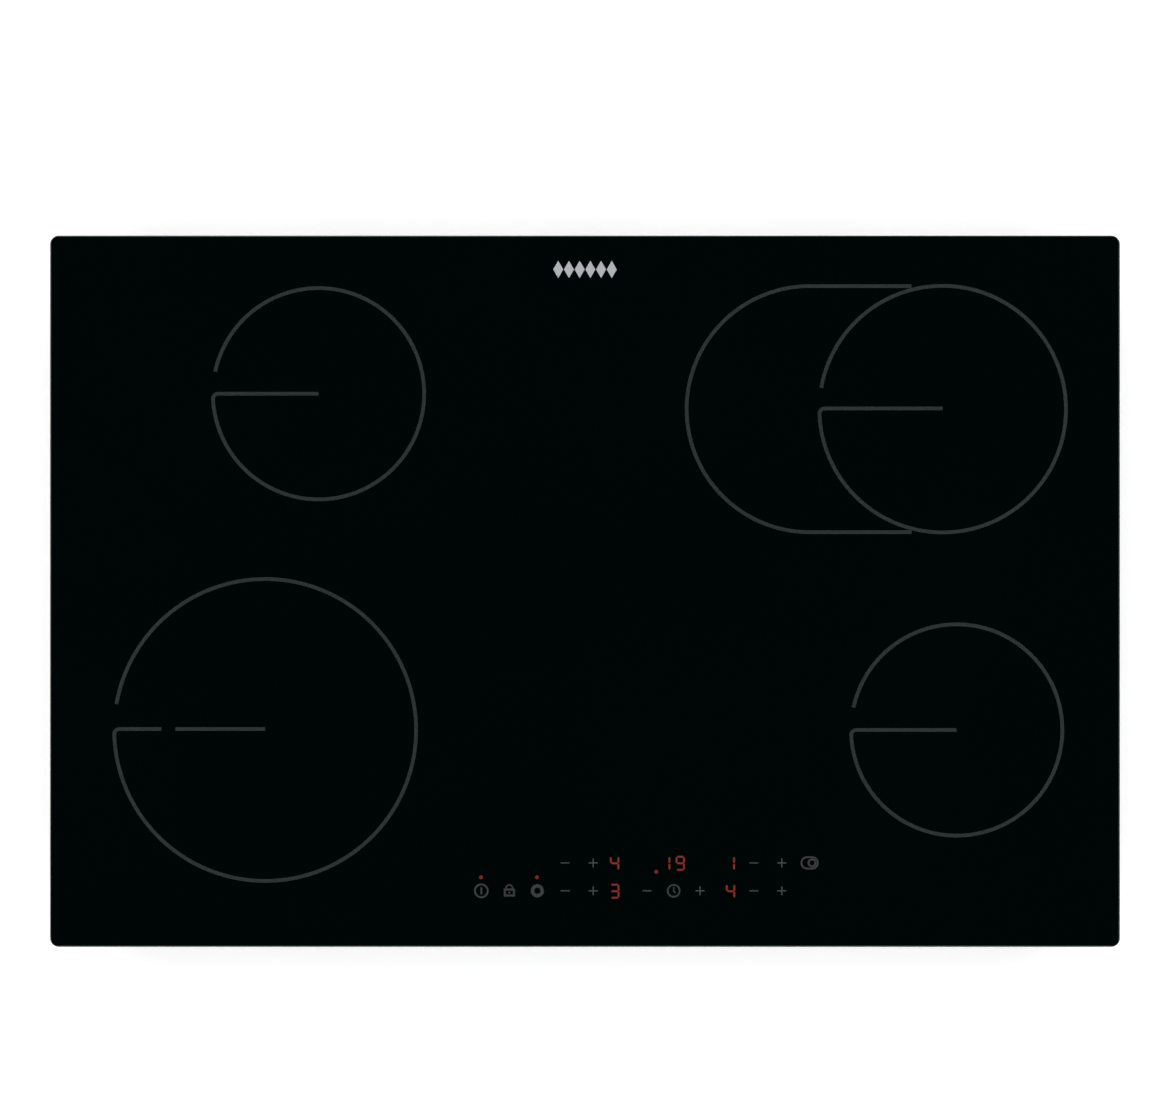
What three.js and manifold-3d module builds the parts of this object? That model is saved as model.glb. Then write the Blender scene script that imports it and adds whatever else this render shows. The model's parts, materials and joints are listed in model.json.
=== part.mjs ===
// A four-zone built-in glass-ceramic hob, 770 mm wide, with touch controls and a sheet-steel base tray.
// Millimetres. +X is to the right, -Y is the front edge with the controls, +Z is up.
// The origin is on the underside of the base tray, below the middle of the glass.
import * as THREE from "three";
import { mergeVertices } from "three/addons/utils/BufferGeometryUtils.js";
import Module from "manifold-3d";

const wasm = await Module();
wasm.setup();

// ---------- driving dimensions ----------
const GAP = 0.3; // left between pieces that touch
const SHEET = 1; // steel sheet of the tray, the frame and the rails

const GLASS = { halfX: 385, halfY: 256, corner: 6.5, bottom: 40, top: 44, bevel: 0.8 };
const UNDER_GLASS = GLASS.bottom - GAP; // the highest point of everything that touches the glass

const SEAL = { halfX: 384, halfY: 255, width: 7.5, corner: 6, innerCorner: 2, bottom: 37.7 };
const FRAME = {
  halfX: 371.4,
  halfY: 241.4,
  corner: 9,
  innerX: 356,
  innerY: 230.5,
  innerCorner: 4,
  skirtBottom: 24.6,
};
const TRAY = { halfX: 370, halfY: 240, corner: 8, top: 38.3 };
const TRAY_RIB = { width: 8, height: 1.6, halfLength: 150, at: [-340, -95, 95, 342] };
const FLOOR_VENT = {
  width: 4,
  length: 34,
  pitch: 9,
  count: 7,
  at: [[-22, -150], [-22, -20], [-22, 60], [48, -205]],
};
const WALL_VENT = { width: 4, z: [7, 20], pitch: 10, count: 6, at: [-170, 170] };
const BOSS = { radius: 4, top: 6.7 }; // pressed up under the corners of the power board

const FRAME_SCREW = {
  y: 190,
  z: 31.5,
  headRadius: 3.6,
  headHeight: 1.8,
  radius: 1.8,
  length: 12,
  crossReach: 2.2,
  crossHalfWidth: 0.5,
  crossDepth: 1,
};

// Each zone is a round heater, and one of them is stretched to the left by a second circuit.
const ZONES = [
  { name: "rear_left", x: -191.7, y: 142.1, radius: 82.5, stretch: 0, side: 1 },
  { name: "front_left", x: -230.1, y: -99.8, radius: 115, stretch: 0, side: 1, divider: 60 },
  { name: "rear_right", x: 257.3, y: 131, radius: 95, stretch: 95.7, side: -1, divider: 80 },
  { name: "front_right", x: 267.4, y: -99.8, radius: 82.5, stretch: 0, side: -1 },
];
const DISH = { bottom: 9.5, rim: 36, wall: 0.8 };
const FIBRE = { wall: 10, floorTop: 22, dividerWall: 4.5 };
const COIL = { thickness: 1.6, bottom: FIBRE.floorTop + GAP, top: 28.5, start: 14, pitch: 13, margin: 4.5 };
const LIMITER = {
  length: 25,
  halfWidth: 10,
  bottom: 25,
  top: 37,
  blade: { length: 6, halfWidth: 3, halfThickness: 0.5, offset: 5 },
  rodZ: 33,
  rodRadius: 2,
  bore: 2.4,
  short: 14, // from the rod's tip to the well's far wall
};
const RAIL = { halfWidth: 16, top: 8, foot: 9, halfLength: 213, at: { left: -210, right: 262 } };
const SPRING = { halfX: 12, halfY: 5, top: DISH.bottom - GAP, offset: 42 };

const CONTROL = {
  x: [-97, 192],
  y: [-228.5, -181],
  z: [20, 38],
  wall: 1.6,
  leg: { half: 4, inset: 12 },
  ledge: { count: 5, pitch: 55, half: 1 },
};
const TOUCH_BOARD = { bottom: 30, top: 31.6, inset: 2.4 };
const ROWS = { upper: -195.4, lower: -215.5 };
const KEYS = {
  upper: [-14.3, 5.9, 121.4, 141.6, 162.3],
  lower: [-74.6, -54.4, -34.3, -14.3, 5.9, 44.6, 63.8, 82.8, 121.5, 141.6],
};
const KEY_PAD_RADIUS = 4.2;
const DISPLAYS = [
  { name: "display_rear_left", x: 22, row: "upper", halfWidth: 6.2 },
  { name: "display_front_left", x: 22.2, row: "lower", halfWidth: 6.2 },
  { name: "display_timer", x: 64.8, row: "upper", halfWidth: 9.5 },
  { name: "display_rear_right", x: 107.5, row: "upper", halfWidth: 6.2 },
  { name: "display_front_right", x: 105.3, row: "lower", halfWidth: 6.2 },
];
const DISPLAY_HALF_DEPTH = 8.6;
const RIBBON = { x: -10, width: 24, thickness: 1 };

const POWER_BOARD = { x: [-75, 30], y: [-120, 125], z: [7, 8.6] };
const RELAY = { x: 12, y: [-80, -30, 20], halfX: 13, halfY: 15, height: 24 };
const TRANSFORMER = { x: -38, y: 70, halfX: 22, halfY: 19, height: 27, winding: { inset: 7, lower: 6 } };
const CONNECTORS = [
  { x: [-74, -66], y: [-30, 30], height: 8 },
  { x: [21, 29], y: [55, 95], height: 8 },
  { x: [-30, 10], y: [115, 124], height: 12 },
  { x: [-12, 14], y: [-119, -113], height: 6 },
];
const CAPACITORS = [
  { at: [-45, 20], radius: 6, height: 20, sides: 16 },
  { at: [-45, -10], radius: 4, height: 14, sides: 12 },
  { at: [-45, -24], radius: 4, height: 14, sides: 12 },
];
const ROOT = 0.4; // how far a part that stands on a plate is sunk into it, to be one body with it

const HOUSING = {
  halfX: 50,
  y: [166, 232],
  z: [1.3, 33],
  wall: 1.6,
  lug: { behind: 2.4, ahead: 4, top: 6 },
  wireHole: { x: 20, z: 14, radius: 5 },
};
const HATCH = { halfX: 52, y: [169.4, 226.2] }; // the opening in the tray under the terminals
const HINGE = { y: 171.8, z: 2, barrelRadius: 1.8, pinRadius: 0.9, bore: 1.2 };
const COVER = {
  bottom: 0.2,
  top: 1.8,
  end: 225.6,
  neckEnd: 178,
  halfX: 51.4,
  neckHalfX: 48,
  ribs: { at: [-30, 0, 30], half: 1, height: 2, fromHinge: 2, fromEnd: 4 },
  tongue: { halfX: 12, y: [223.6, 225], height: 4 },
};
const BLOCK = {
  halfX: 34,
  y: [177, 201],
  z: [16, 31.1],
  poles: 6,
  pitch: 11,
  screwWell: { y: 183, radius: 3, depth: 5 },
  wireHole: { z: 24, radius: 2.4, depth: 8 },
  groove: { half: 0.6, depth: 3 },
};
const INLET = {
  x: 0,
  z: 13,
  bore: 5.5,
  sleeve: 7.6,
  flange: 10.5,
  hole: 8,
  start: 229,
  lip: 2,
  outside: 2.8,
  rounding: 1.5,
};

const CLAMP = {
  x: 345,
  y: 228,
  armLength: 34,
  armHalfWidth: 6,
  armSheet: 2.5,
  hubRadius: 8.5,
  tipBottom: 0.8,
  crank: [11.5, 16], // where the arm starts to drop, and where it is down
  crankShift: 1.2, // the same on the arm's upper side
};
const POCKET = { x: [301, 361], y: 217, top: 24 };
const NUT = { radius: 4.5, top: 27 }; // a collar drawn and tapped in the pocket's roof
const THREAD = { radius: 2, top: 26.2, point: 0.8, pointRadius: 1.3 };
const CLAMP_HEAD = {
  bottom: 0.6,
  top: 3,
  radius: 4.2,
  edge: 0.6,
  crossReach: 2.6,
  crossHalfWidth: 0.6,
  crossDepth: 1.4,
};
const CLAMP_COLLAR = { radius: 3.4, height: 1.2 };
const BUSH = { bottom: 3.3, neck: [5.2, 8.3], top: 10.1, flangeRadius: 7.5, neckRadius: 5 };
const CORNERS = [
  { name: "front_left", sx: -1, sy: -1 },
  { name: "front_right", sx: 1, sy: -1 },
  { name: "rear_left", sx: -1, sy: 1 },
  { name: "rear_right", sx: 1, sy: 1 },
];

// ---------- shapes ----------
const middle = ([low, high]) => (low + high) / 2;
const beside = (centre, side, near, far) =>
  side > 0 ? [centre + near, centre + far] : [centre - far, centre - near];
const along = (count, pitch) => Array.from({ length: count }, (_, i) => (i - (count - 1) / 2) * pitch);

function solid(geometry) {
  const bare = geometry.clone();
  bare.deleteAttribute("normal");
  bare.deleteAttribute("uv");
  const merged = mergeVertices(bare, 1e-4);
  const vertProperties = new Float32Array(merged.attributes.position.array);
  const triVerts = new Uint32Array(merged.index.array);
  return new wasm.Manifold(new wasm.Mesh({ numProp: 3, vertProperties, triVerts }));
}

function geometryOf(body) {
  const mesh = body.getMesh();
  const geometry = new THREE.BufferGeometry();
  geometry.setAttribute("position", new THREE.BufferAttribute(mesh.vertProperties, 3));
  geometry.setIndex(new THREE.BufferAttribute(mesh.triVerts, 1));
  geometry.computeVertexNormals();
  return geometry;
}

const join = (bodies) => bodies.reduce((whole, body) => whole.add(body));
const cut = (body, tools) => tools.reduce((rest, tool) => rest.subtract(tool), body);

// A box from its low and high corner along each axis.
function box(x, y, z) {
  const geometry = new THREE.BoxGeometry(x[1] - x[0], y[1] - y[0], z[1] - z[0]);
  geometry.translate(middle(x), middle(y), middle(z));
  return solid(geometry);
}

// A cylinder along one axis. The centre gives the other two coordinates in x, y, z order.
function rod(axis, radius, span, centre, sides = 16) {
  const geometry = new THREE.CylinderGeometry(radius, radius, span[1] - span[0], sides);
  if (axis === "x") geometry.rotateZ(Math.PI / 2).translate(middle(span), centre[0], centre[1]);
  if (axis === "y") geometry.translate(centre[0], middle(span), centre[1]);
  if (axis === "z") geometry.rotateX(Math.PI / 2).translate(centre[0], centre[1], middle(span));
  return solid(geometry);
}

function roundedRect(halfX, halfY, radius) {
  const shape = new THREE.Shape();
  const quarter = Math.PI / 2;
  shape.absarc(halfX - radius, halfY - radius, radius, 0, quarter);
  shape.absarc(radius - halfX, halfY - radius, radius, quarter, 2 * quarter);
  shape.absarc(radius - halfX, radius - halfY, radius, 2 * quarter, 3 * quarter);
  shape.absarc(halfX - radius, radius - halfY, radius, 3 * quarter, 4 * quarter);
  return shape;
}

// A circle about the zone's centre, drawn out to the left by the zone's stretch.
function zoneOutline(zone, radius) {
  const shape = new THREE.Shape();
  const quarter = Math.PI / 2;
  shape.absarc(zone.x, zone.y, radius, -quarter, quarter);
  shape.absarc(zone.x - zone.stretch, zone.y, radius, quarter, 3 * quarter);
  return shape;
}

function polygon(points) {
  return new THREE.Shape(points.map(([x, y]) => new THREE.Vector2(x, y)));
}

function slab(shape, z, curveSegments = 3) {
  const settings = { depth: z[1] - z[0], bevelEnabled: false, curveSegments };
  return solid(new THREE.ExtrudeGeometry(shape, settings).translate(0, 0, z[0]));
}

// A ring-shaped profile of [radius, height] pairs turned about a vertical axis.
function turned(profile, sides = 16) {
  const points = profile.map(([radius, height]) => new THREE.Vector2(radius, height));
  return new THREE.LatheGeometry(points, sides).rotateX(Math.PI / 2);
}

// The outline of a strip of even thickness along a plane line.
function strip(line, thickness) {
  const left = [];
  const right = [];
  line.forEach(([x, y], i) => {
    const [x0, y0] = line[Math.max(i - 1, 0)];
    const [x1, y1] = line[Math.min(i + 1, line.length - 1)];
    const length = Math.hypot(x1 - x0, y1 - y0);
    const offX = (-(y1 - y0) / length) * (thickness / 2);
    const offY = ((x1 - x0) / length) * (thickness / 2);
    left.push([x + offX, y + offY]);
    right.unshift([x - offX, y - offY]);
  });
  return polygon([...left, ...right]);
}

function cable(points, radius, steps) {
  const path = new THREE.CatmullRomCurve3(points.map((p) => new THREE.Vector3(...p)));
  const section = new THREE.Shape();
  section.absarc(0, 0, radius, 0, 2 * Math.PI);
  return new THREE.ExtrudeGeometry(section, { steps, extrudePath: path, curveSegments: 4 });
}

// ---------- materials ----------
const LOOK = {
  glass: { color: 0x000606, roughness: 0.08, metalness: 0 },
  foam: { color: 0x202224, roughness: 0.9, metalness: 0 },
  paintedSteel: { color: 0x17191a, roughness: 0.5, metalness: 0.4 },
  zincSteel: { color: 0xa9adb0, roughness: 0.35, metalness: 1 },
  plainSteel: { color: 0x8f9396, roughness: 0.4, metalness: 1 },
  fibre: { color: 0xd9d5c8, roughness: 0.95, metalness: 0 },
  alloy: { color: 0x6e5f52, roughness: 0.6, metalness: 0.8 },
  ceramic: { color: 0xe3ded2, roughness: 0.6, metalness: 0 },
  blackPlastic: { color: 0x1c1d1e, roughness: 0.6, metalness: 0 },
  board: { color: 0x1d5a38, roughness: 0.5, metalness: 0 },
  display: { color: 0x2a1210, roughness: 0.3, metalness: 0 },
  relay: { color: 0x22324a, roughness: 0.5, metalness: 0 },
  iron: { color: 0x4d4f52, roughness: 0.5, metalness: 0.9 },
  terminal: { color: 0xdedbd0, roughness: 0.5, metalness: 0 },
  rubber: { color: 0x141414, roughness: 0.85, metalness: 0 },
  brass: { color: 0xb08d3e, roughness: 0.35, metalness: 1 },
  wire: { color: 0x3a3c40, roughness: 0.7, metalness: 0 },
};

const hob = new THREE.Group();

function addPiece(name, geometry, look) {
  const mesh = new THREE.Mesh(geometry, new THREE.MeshStandardMaterial(LOOK[look]));
  mesh.name = name;
  hob.add(mesh);
  return mesh;
}

const addSolid = (name, body, look) => addPiece(name, geometryOf(body), look);

// ---------- glass, seal and frame ----------
function glassPlate() {
  const inset = GLASS.bevel;
  const shape = roundedRect(GLASS.halfX - inset, GLASS.halfY - inset, GLASS.corner - inset);
  const settings = {
    depth: GLASS.top - GLASS.bottom - 2 * inset,
    bevelThickness: inset,
    bevelSize: inset,
    bevelSegments: 2,
    curveSegments: 5,
  };
  return new THREE.ExtrudeGeometry(shape, settings).translate(0, 0, GLASS.bottom + inset);
}

function worktopSeal() {
  const z = [SEAL.bottom, UNDER_GLASS];
  const outer = slab(roundedRect(SEAL.halfX, SEAL.halfY, SEAL.corner), z);
  const hole = roundedRect(SEAL.halfX - SEAL.width, SEAL.halfY - SEAL.width, SEAL.innerCorner);
  return cut(outer, [slab(hole, [z[0] - 1, z[1] + 1])]);
}

// An angle section bent round in a ring: a flange under the glass and a skirt outside the tray wall.
function glassFrame() {
  const outline = roundedRect(FRAME.halfX, FRAME.halfY, FRAME.corner);
  const inside = roundedRect(FRAME.halfX - SHEET, FRAME.halfY - SHEET, FRAME.corner - SHEET);
  const window = roundedRect(FRAME.innerX, FRAME.innerY, FRAME.innerCorner);
  return cut(slab(outline, [FRAME.skirtBottom, UNDER_GLASS]), [
    slab(inside, [FRAME.skirtBottom - 1, UNDER_GLASS - SHEET]),
    slab(window, [FRAME.skirtBottom, UNDER_GLASS + 1]),
    ...frameScrewHoles(),
  ]);
}

function frameScrewHoles() {
  const radius = FRAME_SCREW.radius + GAP;
  return CORNERS.map(({ sx, sy }) => {
    const span = beside(0, sx, FRAME.halfX - 8, FRAME.halfX + 8); // through both sheets
    return rod("x", radius, span, [sy * FRAME_SCREW.y, FRAME_SCREW.z], 12);
  });
}

// The two slots of a cross recess, each as its spans along the two axes of the screw's face.
function crossSlots([u, v], reach, halfWidth) {
  const long = (centre) => [centre - reach, centre + reach];
  const short = (centre) => [centre - halfWidth, centre + halfWidth];
  return [[long(u), short(v)], [short(u), long(v)]];
}

// A cross-head screw through the frame's skirt and the tray wall.
function frameScrew({ sx, sy }) {
  const at = [sy * FRAME_SCREW.y, FRAME_SCREW.z];
  const under = FRAME.halfX + GAP;
  const outer = under + FRAME_SCREW.headHeight;
  const head = rod("x", FRAME_SCREW.headRadius, beside(0, sx, under, outer), at, 16);
  const shankSpan = beside(0, sx, under - FRAME_SCREW.length, under + 0.5);
  const shank = rod("x", FRAME_SCREW.radius, shankSpan, at, 12);
  const recess = beside(0, sx, outer - FRAME_SCREW.crossDepth, outer + 1);
  const slots = crossSlots(at, FRAME_SCREW.crossReach, FRAME_SCREW.crossHalfWidth);
  return cut(join([head, shank]), slots.map(([y, z]) => box(recess, y, z)));
}

// ---------- base tray ----------
function pocketBox({ sx, sy }, wall, outerY, bottom) {
  const x = beside(0, sx, POCKET.x[0] - wall, POCKET.x[1] + wall);
  const y = beside(0, sy, POCKET.y - wall, outerY);
  return box(x, y, [bottom, POCKET.top + wall]);
}

function trayRib(x) {
  const { width, height, halfLength } = TRAY_RIB;
  return {
    raised: box([x - width / 2, x + width / 2], [-halfLength, halfLength], [SHEET / 2, SHEET + height]),
    groove: box(
      [x - width / 2 + SHEET, x + width / 2 - SHEET],
      [SHEET - halfLength, halfLength - SHEET],
      [-1, height],
    ),
  };
}

function floorVents() {
  const { width, length, pitch, count } = FLOOR_VENT;
  return FLOOR_VENT.at.flatMap(([x, y]) =>
    along(count, pitch).map((offset) => {
      const left = x + offset - width / 2;
      return box([left, left + width], [y - length / 2, y + length / 2], [-1, SHEET + 1]);
    }),
  );
}

function rearWallVents() {
  const { width, z, pitch, count } = WALL_VENT;
  return WALL_VENT.at.flatMap((x) =>
    along(count, pitch).map((offset) => {
      const left = x + offset - width / 2;
      return box([left, left + width], [TRAY.halfY - SHEET - 1, TRAY.halfY + 1], z);
    }),
  );
}

const clampAxis = ({ sx, sy }) => [sx * CLAMP.x, sy * CLAMP.y];

function boardCorners() {
  const inset = BOSS.radius + 1;
  return [POWER_BOARD.x[0] + inset, POWER_BOARD.x[1] - inset].flatMap((x) =>
    [POWER_BOARD.y[0] + inset, POWER_BOARD.y[1] - inset].map((y) => [x, y]),
  );
}

function baseTray() {
  const outer = slab(roundedRect(TRAY.halfX, TRAY.halfY, TRAY.corner), [0, TRAY.top]);
  const inner = roundedRect(TRAY.halfX - SHEET, TRAY.halfY - SHEET, TRAY.corner - SHEET);
  const ribs = TRAY_RIB.at.map(trayRib);
  const pan = join([
    cut(outer, [slab(inner, [SHEET, TRAY.top + 1])]),
    ...CORNERS.map((corner) => pocketBox(corner, SHEET, TRAY.halfY - SHEET / 2, 0)),
    ...ribs.map((rib) => rib.raised),
    ...boardCorners().map((at) => rod("z", BOSS.radius, [SHEET / 2, BOSS.top], at, 12)),
    ...CORNERS.map((corner) => rod("z", NUT.radius, [POCKET.top, NUT.top], clampAxis(corner), 12)),
  ]);
  return cut(pan, [
    ...CORNERS.map((corner) => pocketBox(corner, 0, TRAY.halfY + 5, -1)),
    ...CORNERS.map((corner) =>
      rod("z", THREAD.radius + GAP, [POCKET.top - 1, NUT.top + 1], clampAxis(corner), 12),
    ),
    ...ribs.map((rib) => rib.groove),
    ...floorVents(),
    ...rearWallVents(),
    ...frameScrewHoles(),
    box([-HATCH.halfX, HATCH.halfX], HATCH.y, [-1, SHEET + 1]),
    rod("y", INLET.hole, [TRAY.halfY - 5, TRAY.halfY + 5], [INLET.x, INLET.z], 20),
  ]);
}

// ---------- heaters ----------
const CIRCLE_SEGMENTS = 10;
const zoneSlab = (zone, radius, z) => slab(zoneOutline(zone, radius), z, CIRCLE_SEGMENTS);

function limiterBore(zone) {
  const span = beside(zone.x, zone.side, FIBRE.wall - zone.radius, zone.radius + zone.stretch + 5);
  return rod("x", LIMITER.bore, span, [zone.y, LIMITER.rodZ], 10);
}

function heaterDish(zone) {
  const outer = zoneSlab(zone, zone.radius, [DISH.bottom, DISH.rim]);
  const inner = zoneSlab(zone, zone.radius - DISH.wall, [DISH.bottom + DISH.wall, DISH.rim + 1]);
  return cut(outer, [inner, limiterBore(zone)]);
}

// The fibre insert: a floor, a rim pressed to the glass and, with two circuits, a wall between them.
function heaterFibre(zone) {
  const radius = zone.radius - DISH.wall - GAP;
  const floor = [DISH.bottom + DISH.wall + GAP, FIBRE.floorTop];
  const block = zoneSlab(zone, radius, [floor[0], UNDER_GLASS]);
  const well = zoneSlab(zone, radius - FIBRE.wall, [FIBRE.floorTop, UNDER_GLASS + 1]);
  let insert = cut(block, [well]);
  if (zone.divider) insert = insert.add(heaterDivider(zone));
  return cut(insert, [limiterBore(zone)]);
}

function heaterDivider(zone) {
  const centre = [zone.x, zone.y];
  const height = [FIBRE.floorTop - 1, UNDER_GLASS];
  const outer = rod("z", zone.divider + FIBRE.dividerWall, height, centre, 36);
  return cut(outer, [rod("z", zone.divider, [height[0] - 1, height[1] + 1], centre, 36)]);
}

// A flat spiral about the zone's centre, between two radii.
function spiralElement(zone, from, to) {
  const turns = Math.max(Math.round((to - from) / COIL.pitch), 1);
  const stepsPerTurn = 16;
  const steps = turns * stepsPerTurn;
  const line = Array.from({ length: steps + 1 }, (_, i) => {
    const radius = from + ((to - from) * i) / steps;
    const angle = (2 * Math.PI * i) / stepsPerTurn;
    return [zone.x + radius * Math.cos(angle), zone.y + radius * Math.sin(angle)];
  });
  return slab(strip(line, COIL.thickness), [COIL.bottom, COIL.top]);
}

// Arcs to and fro across the crescent between the round circuit and the stretched end.
// Each arc ends at the angle where the next one starts, so the steps between them are radial.
function crescentElement(zone, from, to) {
  const arcs = Math.floor((to - from) / COIL.pitch);
  const inside = zone.radius - FIBRE.wall - 2 * COIL.margin;
  const arcSteps = 12;
  const line = [];
  for (let arc = 0; arc < arcs; arc += 1) {
    const radius = from + arc * COIL.pitch;
    const start = crescentReach(zone, radius, inside);
    const end = crescentReach(zone, radius + COIL.pitch, inside);
    const way = arc % 2 ? -1 : 1;
    for (let step = 0; step <= arcSteps; step += 1) {
      const angle = Math.PI + way * (((start + end) * step) / arcSteps - start);
      line.push([zone.x + radius * Math.cos(angle), zone.y + radius * Math.sin(angle)]);
    }
  }
  return slab(strip(line, COIL.thickness), [COIL.bottom, COIL.top]);
}

// How far an arc about the zone's centre can swing from straight left and stay inside the well.
function crescentReach(zone, radius, inside) {
  const stepAngle = 0.02;
  let reach = 0;
  for (let angle = 0; angle < Math.PI / 2; angle += stepAngle) {
    const x = -radius * Math.cos(angle);
    const y = radius * Math.sin(angle);
    const beyond = Math.max(-x - zone.stretch, 0);
    if (Math.hypot(beyond, y) > inside) break;
    reach = angle;
  }
  return reach;
}

// A switch head outside the dish with a rod that reaches in over the element.
function limiter(zone) {
  const edge = zone.radius + GAP + (zone.side > 0 ? 0 : zone.stretch);
  const head = beside(zone.x, zone.side, edge, edge + LIMITER.length);
  const tip = -(zone.radius - FIBRE.wall - LIMITER.short);
  const rodSpan = beside(zone.x, zone.side, tip, edge + 1);
  const { length, halfWidth, halfThickness, offset } = LIMITER.blade;
  const blades = [zone.y - offset, zone.y + offset].map((y) =>
    box(
      [middle(head) - halfWidth, middle(head) + halfWidth],
      [y - halfThickness, y + halfThickness],
      [LIMITER.bottom - length, LIMITER.bottom + ROOT],
    ),
  );
  return join([
    box(head, [zone.y - LIMITER.halfWidth, zone.y + LIMITER.halfWidth], [LIMITER.bottom, LIMITER.top]),
    rod("x", LIMITER.rodRadius, rodSpan, [zone.y, LIMITER.rodZ], 8),
    ...blades,
  ]);
}

// A hat-section rail across the tray under two heaters, with the leaf springs that lift them to the glass.
function heaterRail(x, heaterCentres) {
  const y = [-RAIL.halfLength, RAIL.halfLength];
  const bottom = SHEET + GAP;
  const web = box([x - RAIL.halfWidth, x + RAIL.halfWidth], y, [RAIL.top - SHEET, RAIL.top]);
  const sides = [-1, 1].flatMap((side) => {
    const inner = RAIL.halfWidth - SHEET;
    const leg = beside(x, side, inner, RAIL.halfWidth);
    const foot = beside(x, side, inner, RAIL.halfWidth + RAIL.foot);
    return [box(leg, y, [bottom, RAIL.top - SHEET / 2]), box(foot, y, [bottom, bottom + SHEET])];
  });
  const springs = heaterCentres.flatMap((centre) =>
    [-SPRING.offset, SPRING.offset].map((offset) =>
      box(
        [x - SPRING.halfX, x + SPRING.halfX],
        [centre + offset - SPRING.halfY, centre + offset + SPRING.halfY],
        [RAIL.top - SHEET / 2, SPRING.top],
      ),
    ),
  );
  return join([web, ...sides, ...springs]);
}

// ---------- touch controls ----------
function controlCarrier() {
  const { x, y, z, wall, leg, ledge } = CONTROL;
  const inner = (span) => [span[0] + wall, span[1] - wall];
  const tub = cut(box(x, y, z), [box(inner(x), inner(y), [z[0] + wall, z[1] + 1])]);
  const legs = [x[0] + leg.inset, x[1] - leg.inset].flatMap((legX) =>
    [y[0] + leg.inset, y[1] - leg.inset].map((legY) =>
      box(
        [legX - leg.half, legX + leg.half],
        [legY - leg.half, legY + leg.half],
        [SHEET + GAP, z[0] + wall / 2],
      ),
    ),
  );
  const ledges = along(ledge.count, ledge.pitch).map((offset) =>
    box(
      [middle(x) + offset - ledge.half, middle(x) + offset + ledge.half],
      [y[0] + wall / 2, y[1] - wall / 2],
      [z[0] + wall / 2, TOUCH_BOARD.bottom - GAP],
    ),
  );
  return join([tub, ...legs, ...ledges]);
}

// The printed board with one spring pad standing up to the glass under each key.
function touchBoard() {
  const { inset, bottom, top } = TOUCH_BOARD;
  const x = [CONTROL.x[0] + inset, CONTROL.x[1] - inset];
  const y = [CONTROL.y[0] + inset, CONTROL.y[1] - inset];
  const pads = Object.keys(KEYS).flatMap((row) =>
    KEYS[row].map((keyX) => rod("z", KEY_PAD_RADIUS, [top - ROOT, UNDER_GLASS], [keyX, ROWS[row]], 10)),
  );
  return join([box(x, y, [bottom, top]), ...pads]);
}

function displayModule({ x, row, halfWidth }) {
  return box(
    [x - halfWidth, x + halfWidth],
    [ROWS[row] - DISPLAY_HALF_DEPTH, ROWS[row] + DISPLAY_HALF_DEPTH],
    [TOUCH_BOARD.top + GAP, UNDER_GLASS],
  );
}

// A flat cable bent in the Y-Z plane from the touch board's tub to the power board.
function touchRibbon() {
  const start = POWER_BOARD.y[0] - GAP;
  const end = CONTROL.y[1] + GAP;
  const line = [[start, 8.2], [-130, 8], [-142, 6], [-154, 6.5], [-166, 12], [-174, 20], [end, 25]];
  const settings = { depth: RIBBON.width, bevelEnabled: false };
  const flat = new THREE.ExtrudeGeometry(strip(line, RIBBON.thickness), settings);
  return flat.rotateX(Math.PI / 2).rotateZ(Math.PI / 2).translate(RIBBON.x, 0, 0);
}

// ---------- power electronics ----------
function powerBoard() {
  const { x, y, z } = POWER_BOARD;
  const standing = (height) => [z[1] - ROOT, z[1] + height];
  return join([
    box(x, y, z),
    ...CONNECTORS.map((part) => box(part.x, part.y, standing(part.height))),
    ...CAPACITORS.map(({ at, radius, height, sides }) => rod("z", radius, standing(height), at, sides)),
  ]);
}

function relay(y) {
  const bottom = POWER_BOARD.z[1] + GAP;
  return box(
    [RELAY.x - RELAY.halfX, RELAY.x + RELAY.halfX],
    [y - RELAY.halfY, y + RELAY.halfY],
    [bottom, bottom + RELAY.height],
  );
}

// An iron core with its winding standing proud of it on both sides.
function transformer() {
  const { x, y, halfX, halfY, height, winding } = TRANSFORMER;
  const bottom = POWER_BOARD.z[1] + GAP;
  const core = box([x - halfX, x + halfX], [y - halfY / 2, y + halfY / 2], [bottom, bottom + height]);
  const coilX = [x - halfX + winding.inset, x + halfX - winding.inset];
  const coil = box(coilX, [y - halfY, y + halfY], [bottom, bottom + height - winding.lower]);
  return join([core, coil]);
}

// ---------- mains connection ----------
function terminalHousing() {
  const { halfX, y, z, wall, lug, wireHole } = HOUSING;
  const shell = cut(box([-halfX, halfX], y, z), [
    box([wall - halfX, halfX - wall], [y[0] + wall, y[1] - wall], [z[0] - 1, z[1] - wall]),
  ]);
  const sideGap = box([-halfX - 1, halfX + 1], [HATCH.y[0] - 1, y[1] - wall], [z[0] - 1, COVER.top + 0.4]);
  const lugs = [-1, 1].map((side) =>
    box(
      beside(0, side, halfX - wall, halfX),
      [HINGE.y - lug.behind, HINGE.y + lug.ahead],
      [COVER.bottom, lug.top],
    ),
  );
  const pinBore = rod("x", HINGE.bore, [-halfX - 1, halfX + 1], [HINGE.y, HINGE.z], 12);
  const cordHole = rod("y", INLET.hole, [y[1] - 5, y[1] + 5], [INLET.x, INLET.z], 20);
  const wiresOut = rod("y", wireHole.radius, [y[0] - 5, y[0] + 5], [wireHole.x, wireHole.z], 14);
  return cut(join([cut(shell, [sideGap]), ...lugs]), [pinBore, cordHole, wiresOut]);
}

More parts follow.
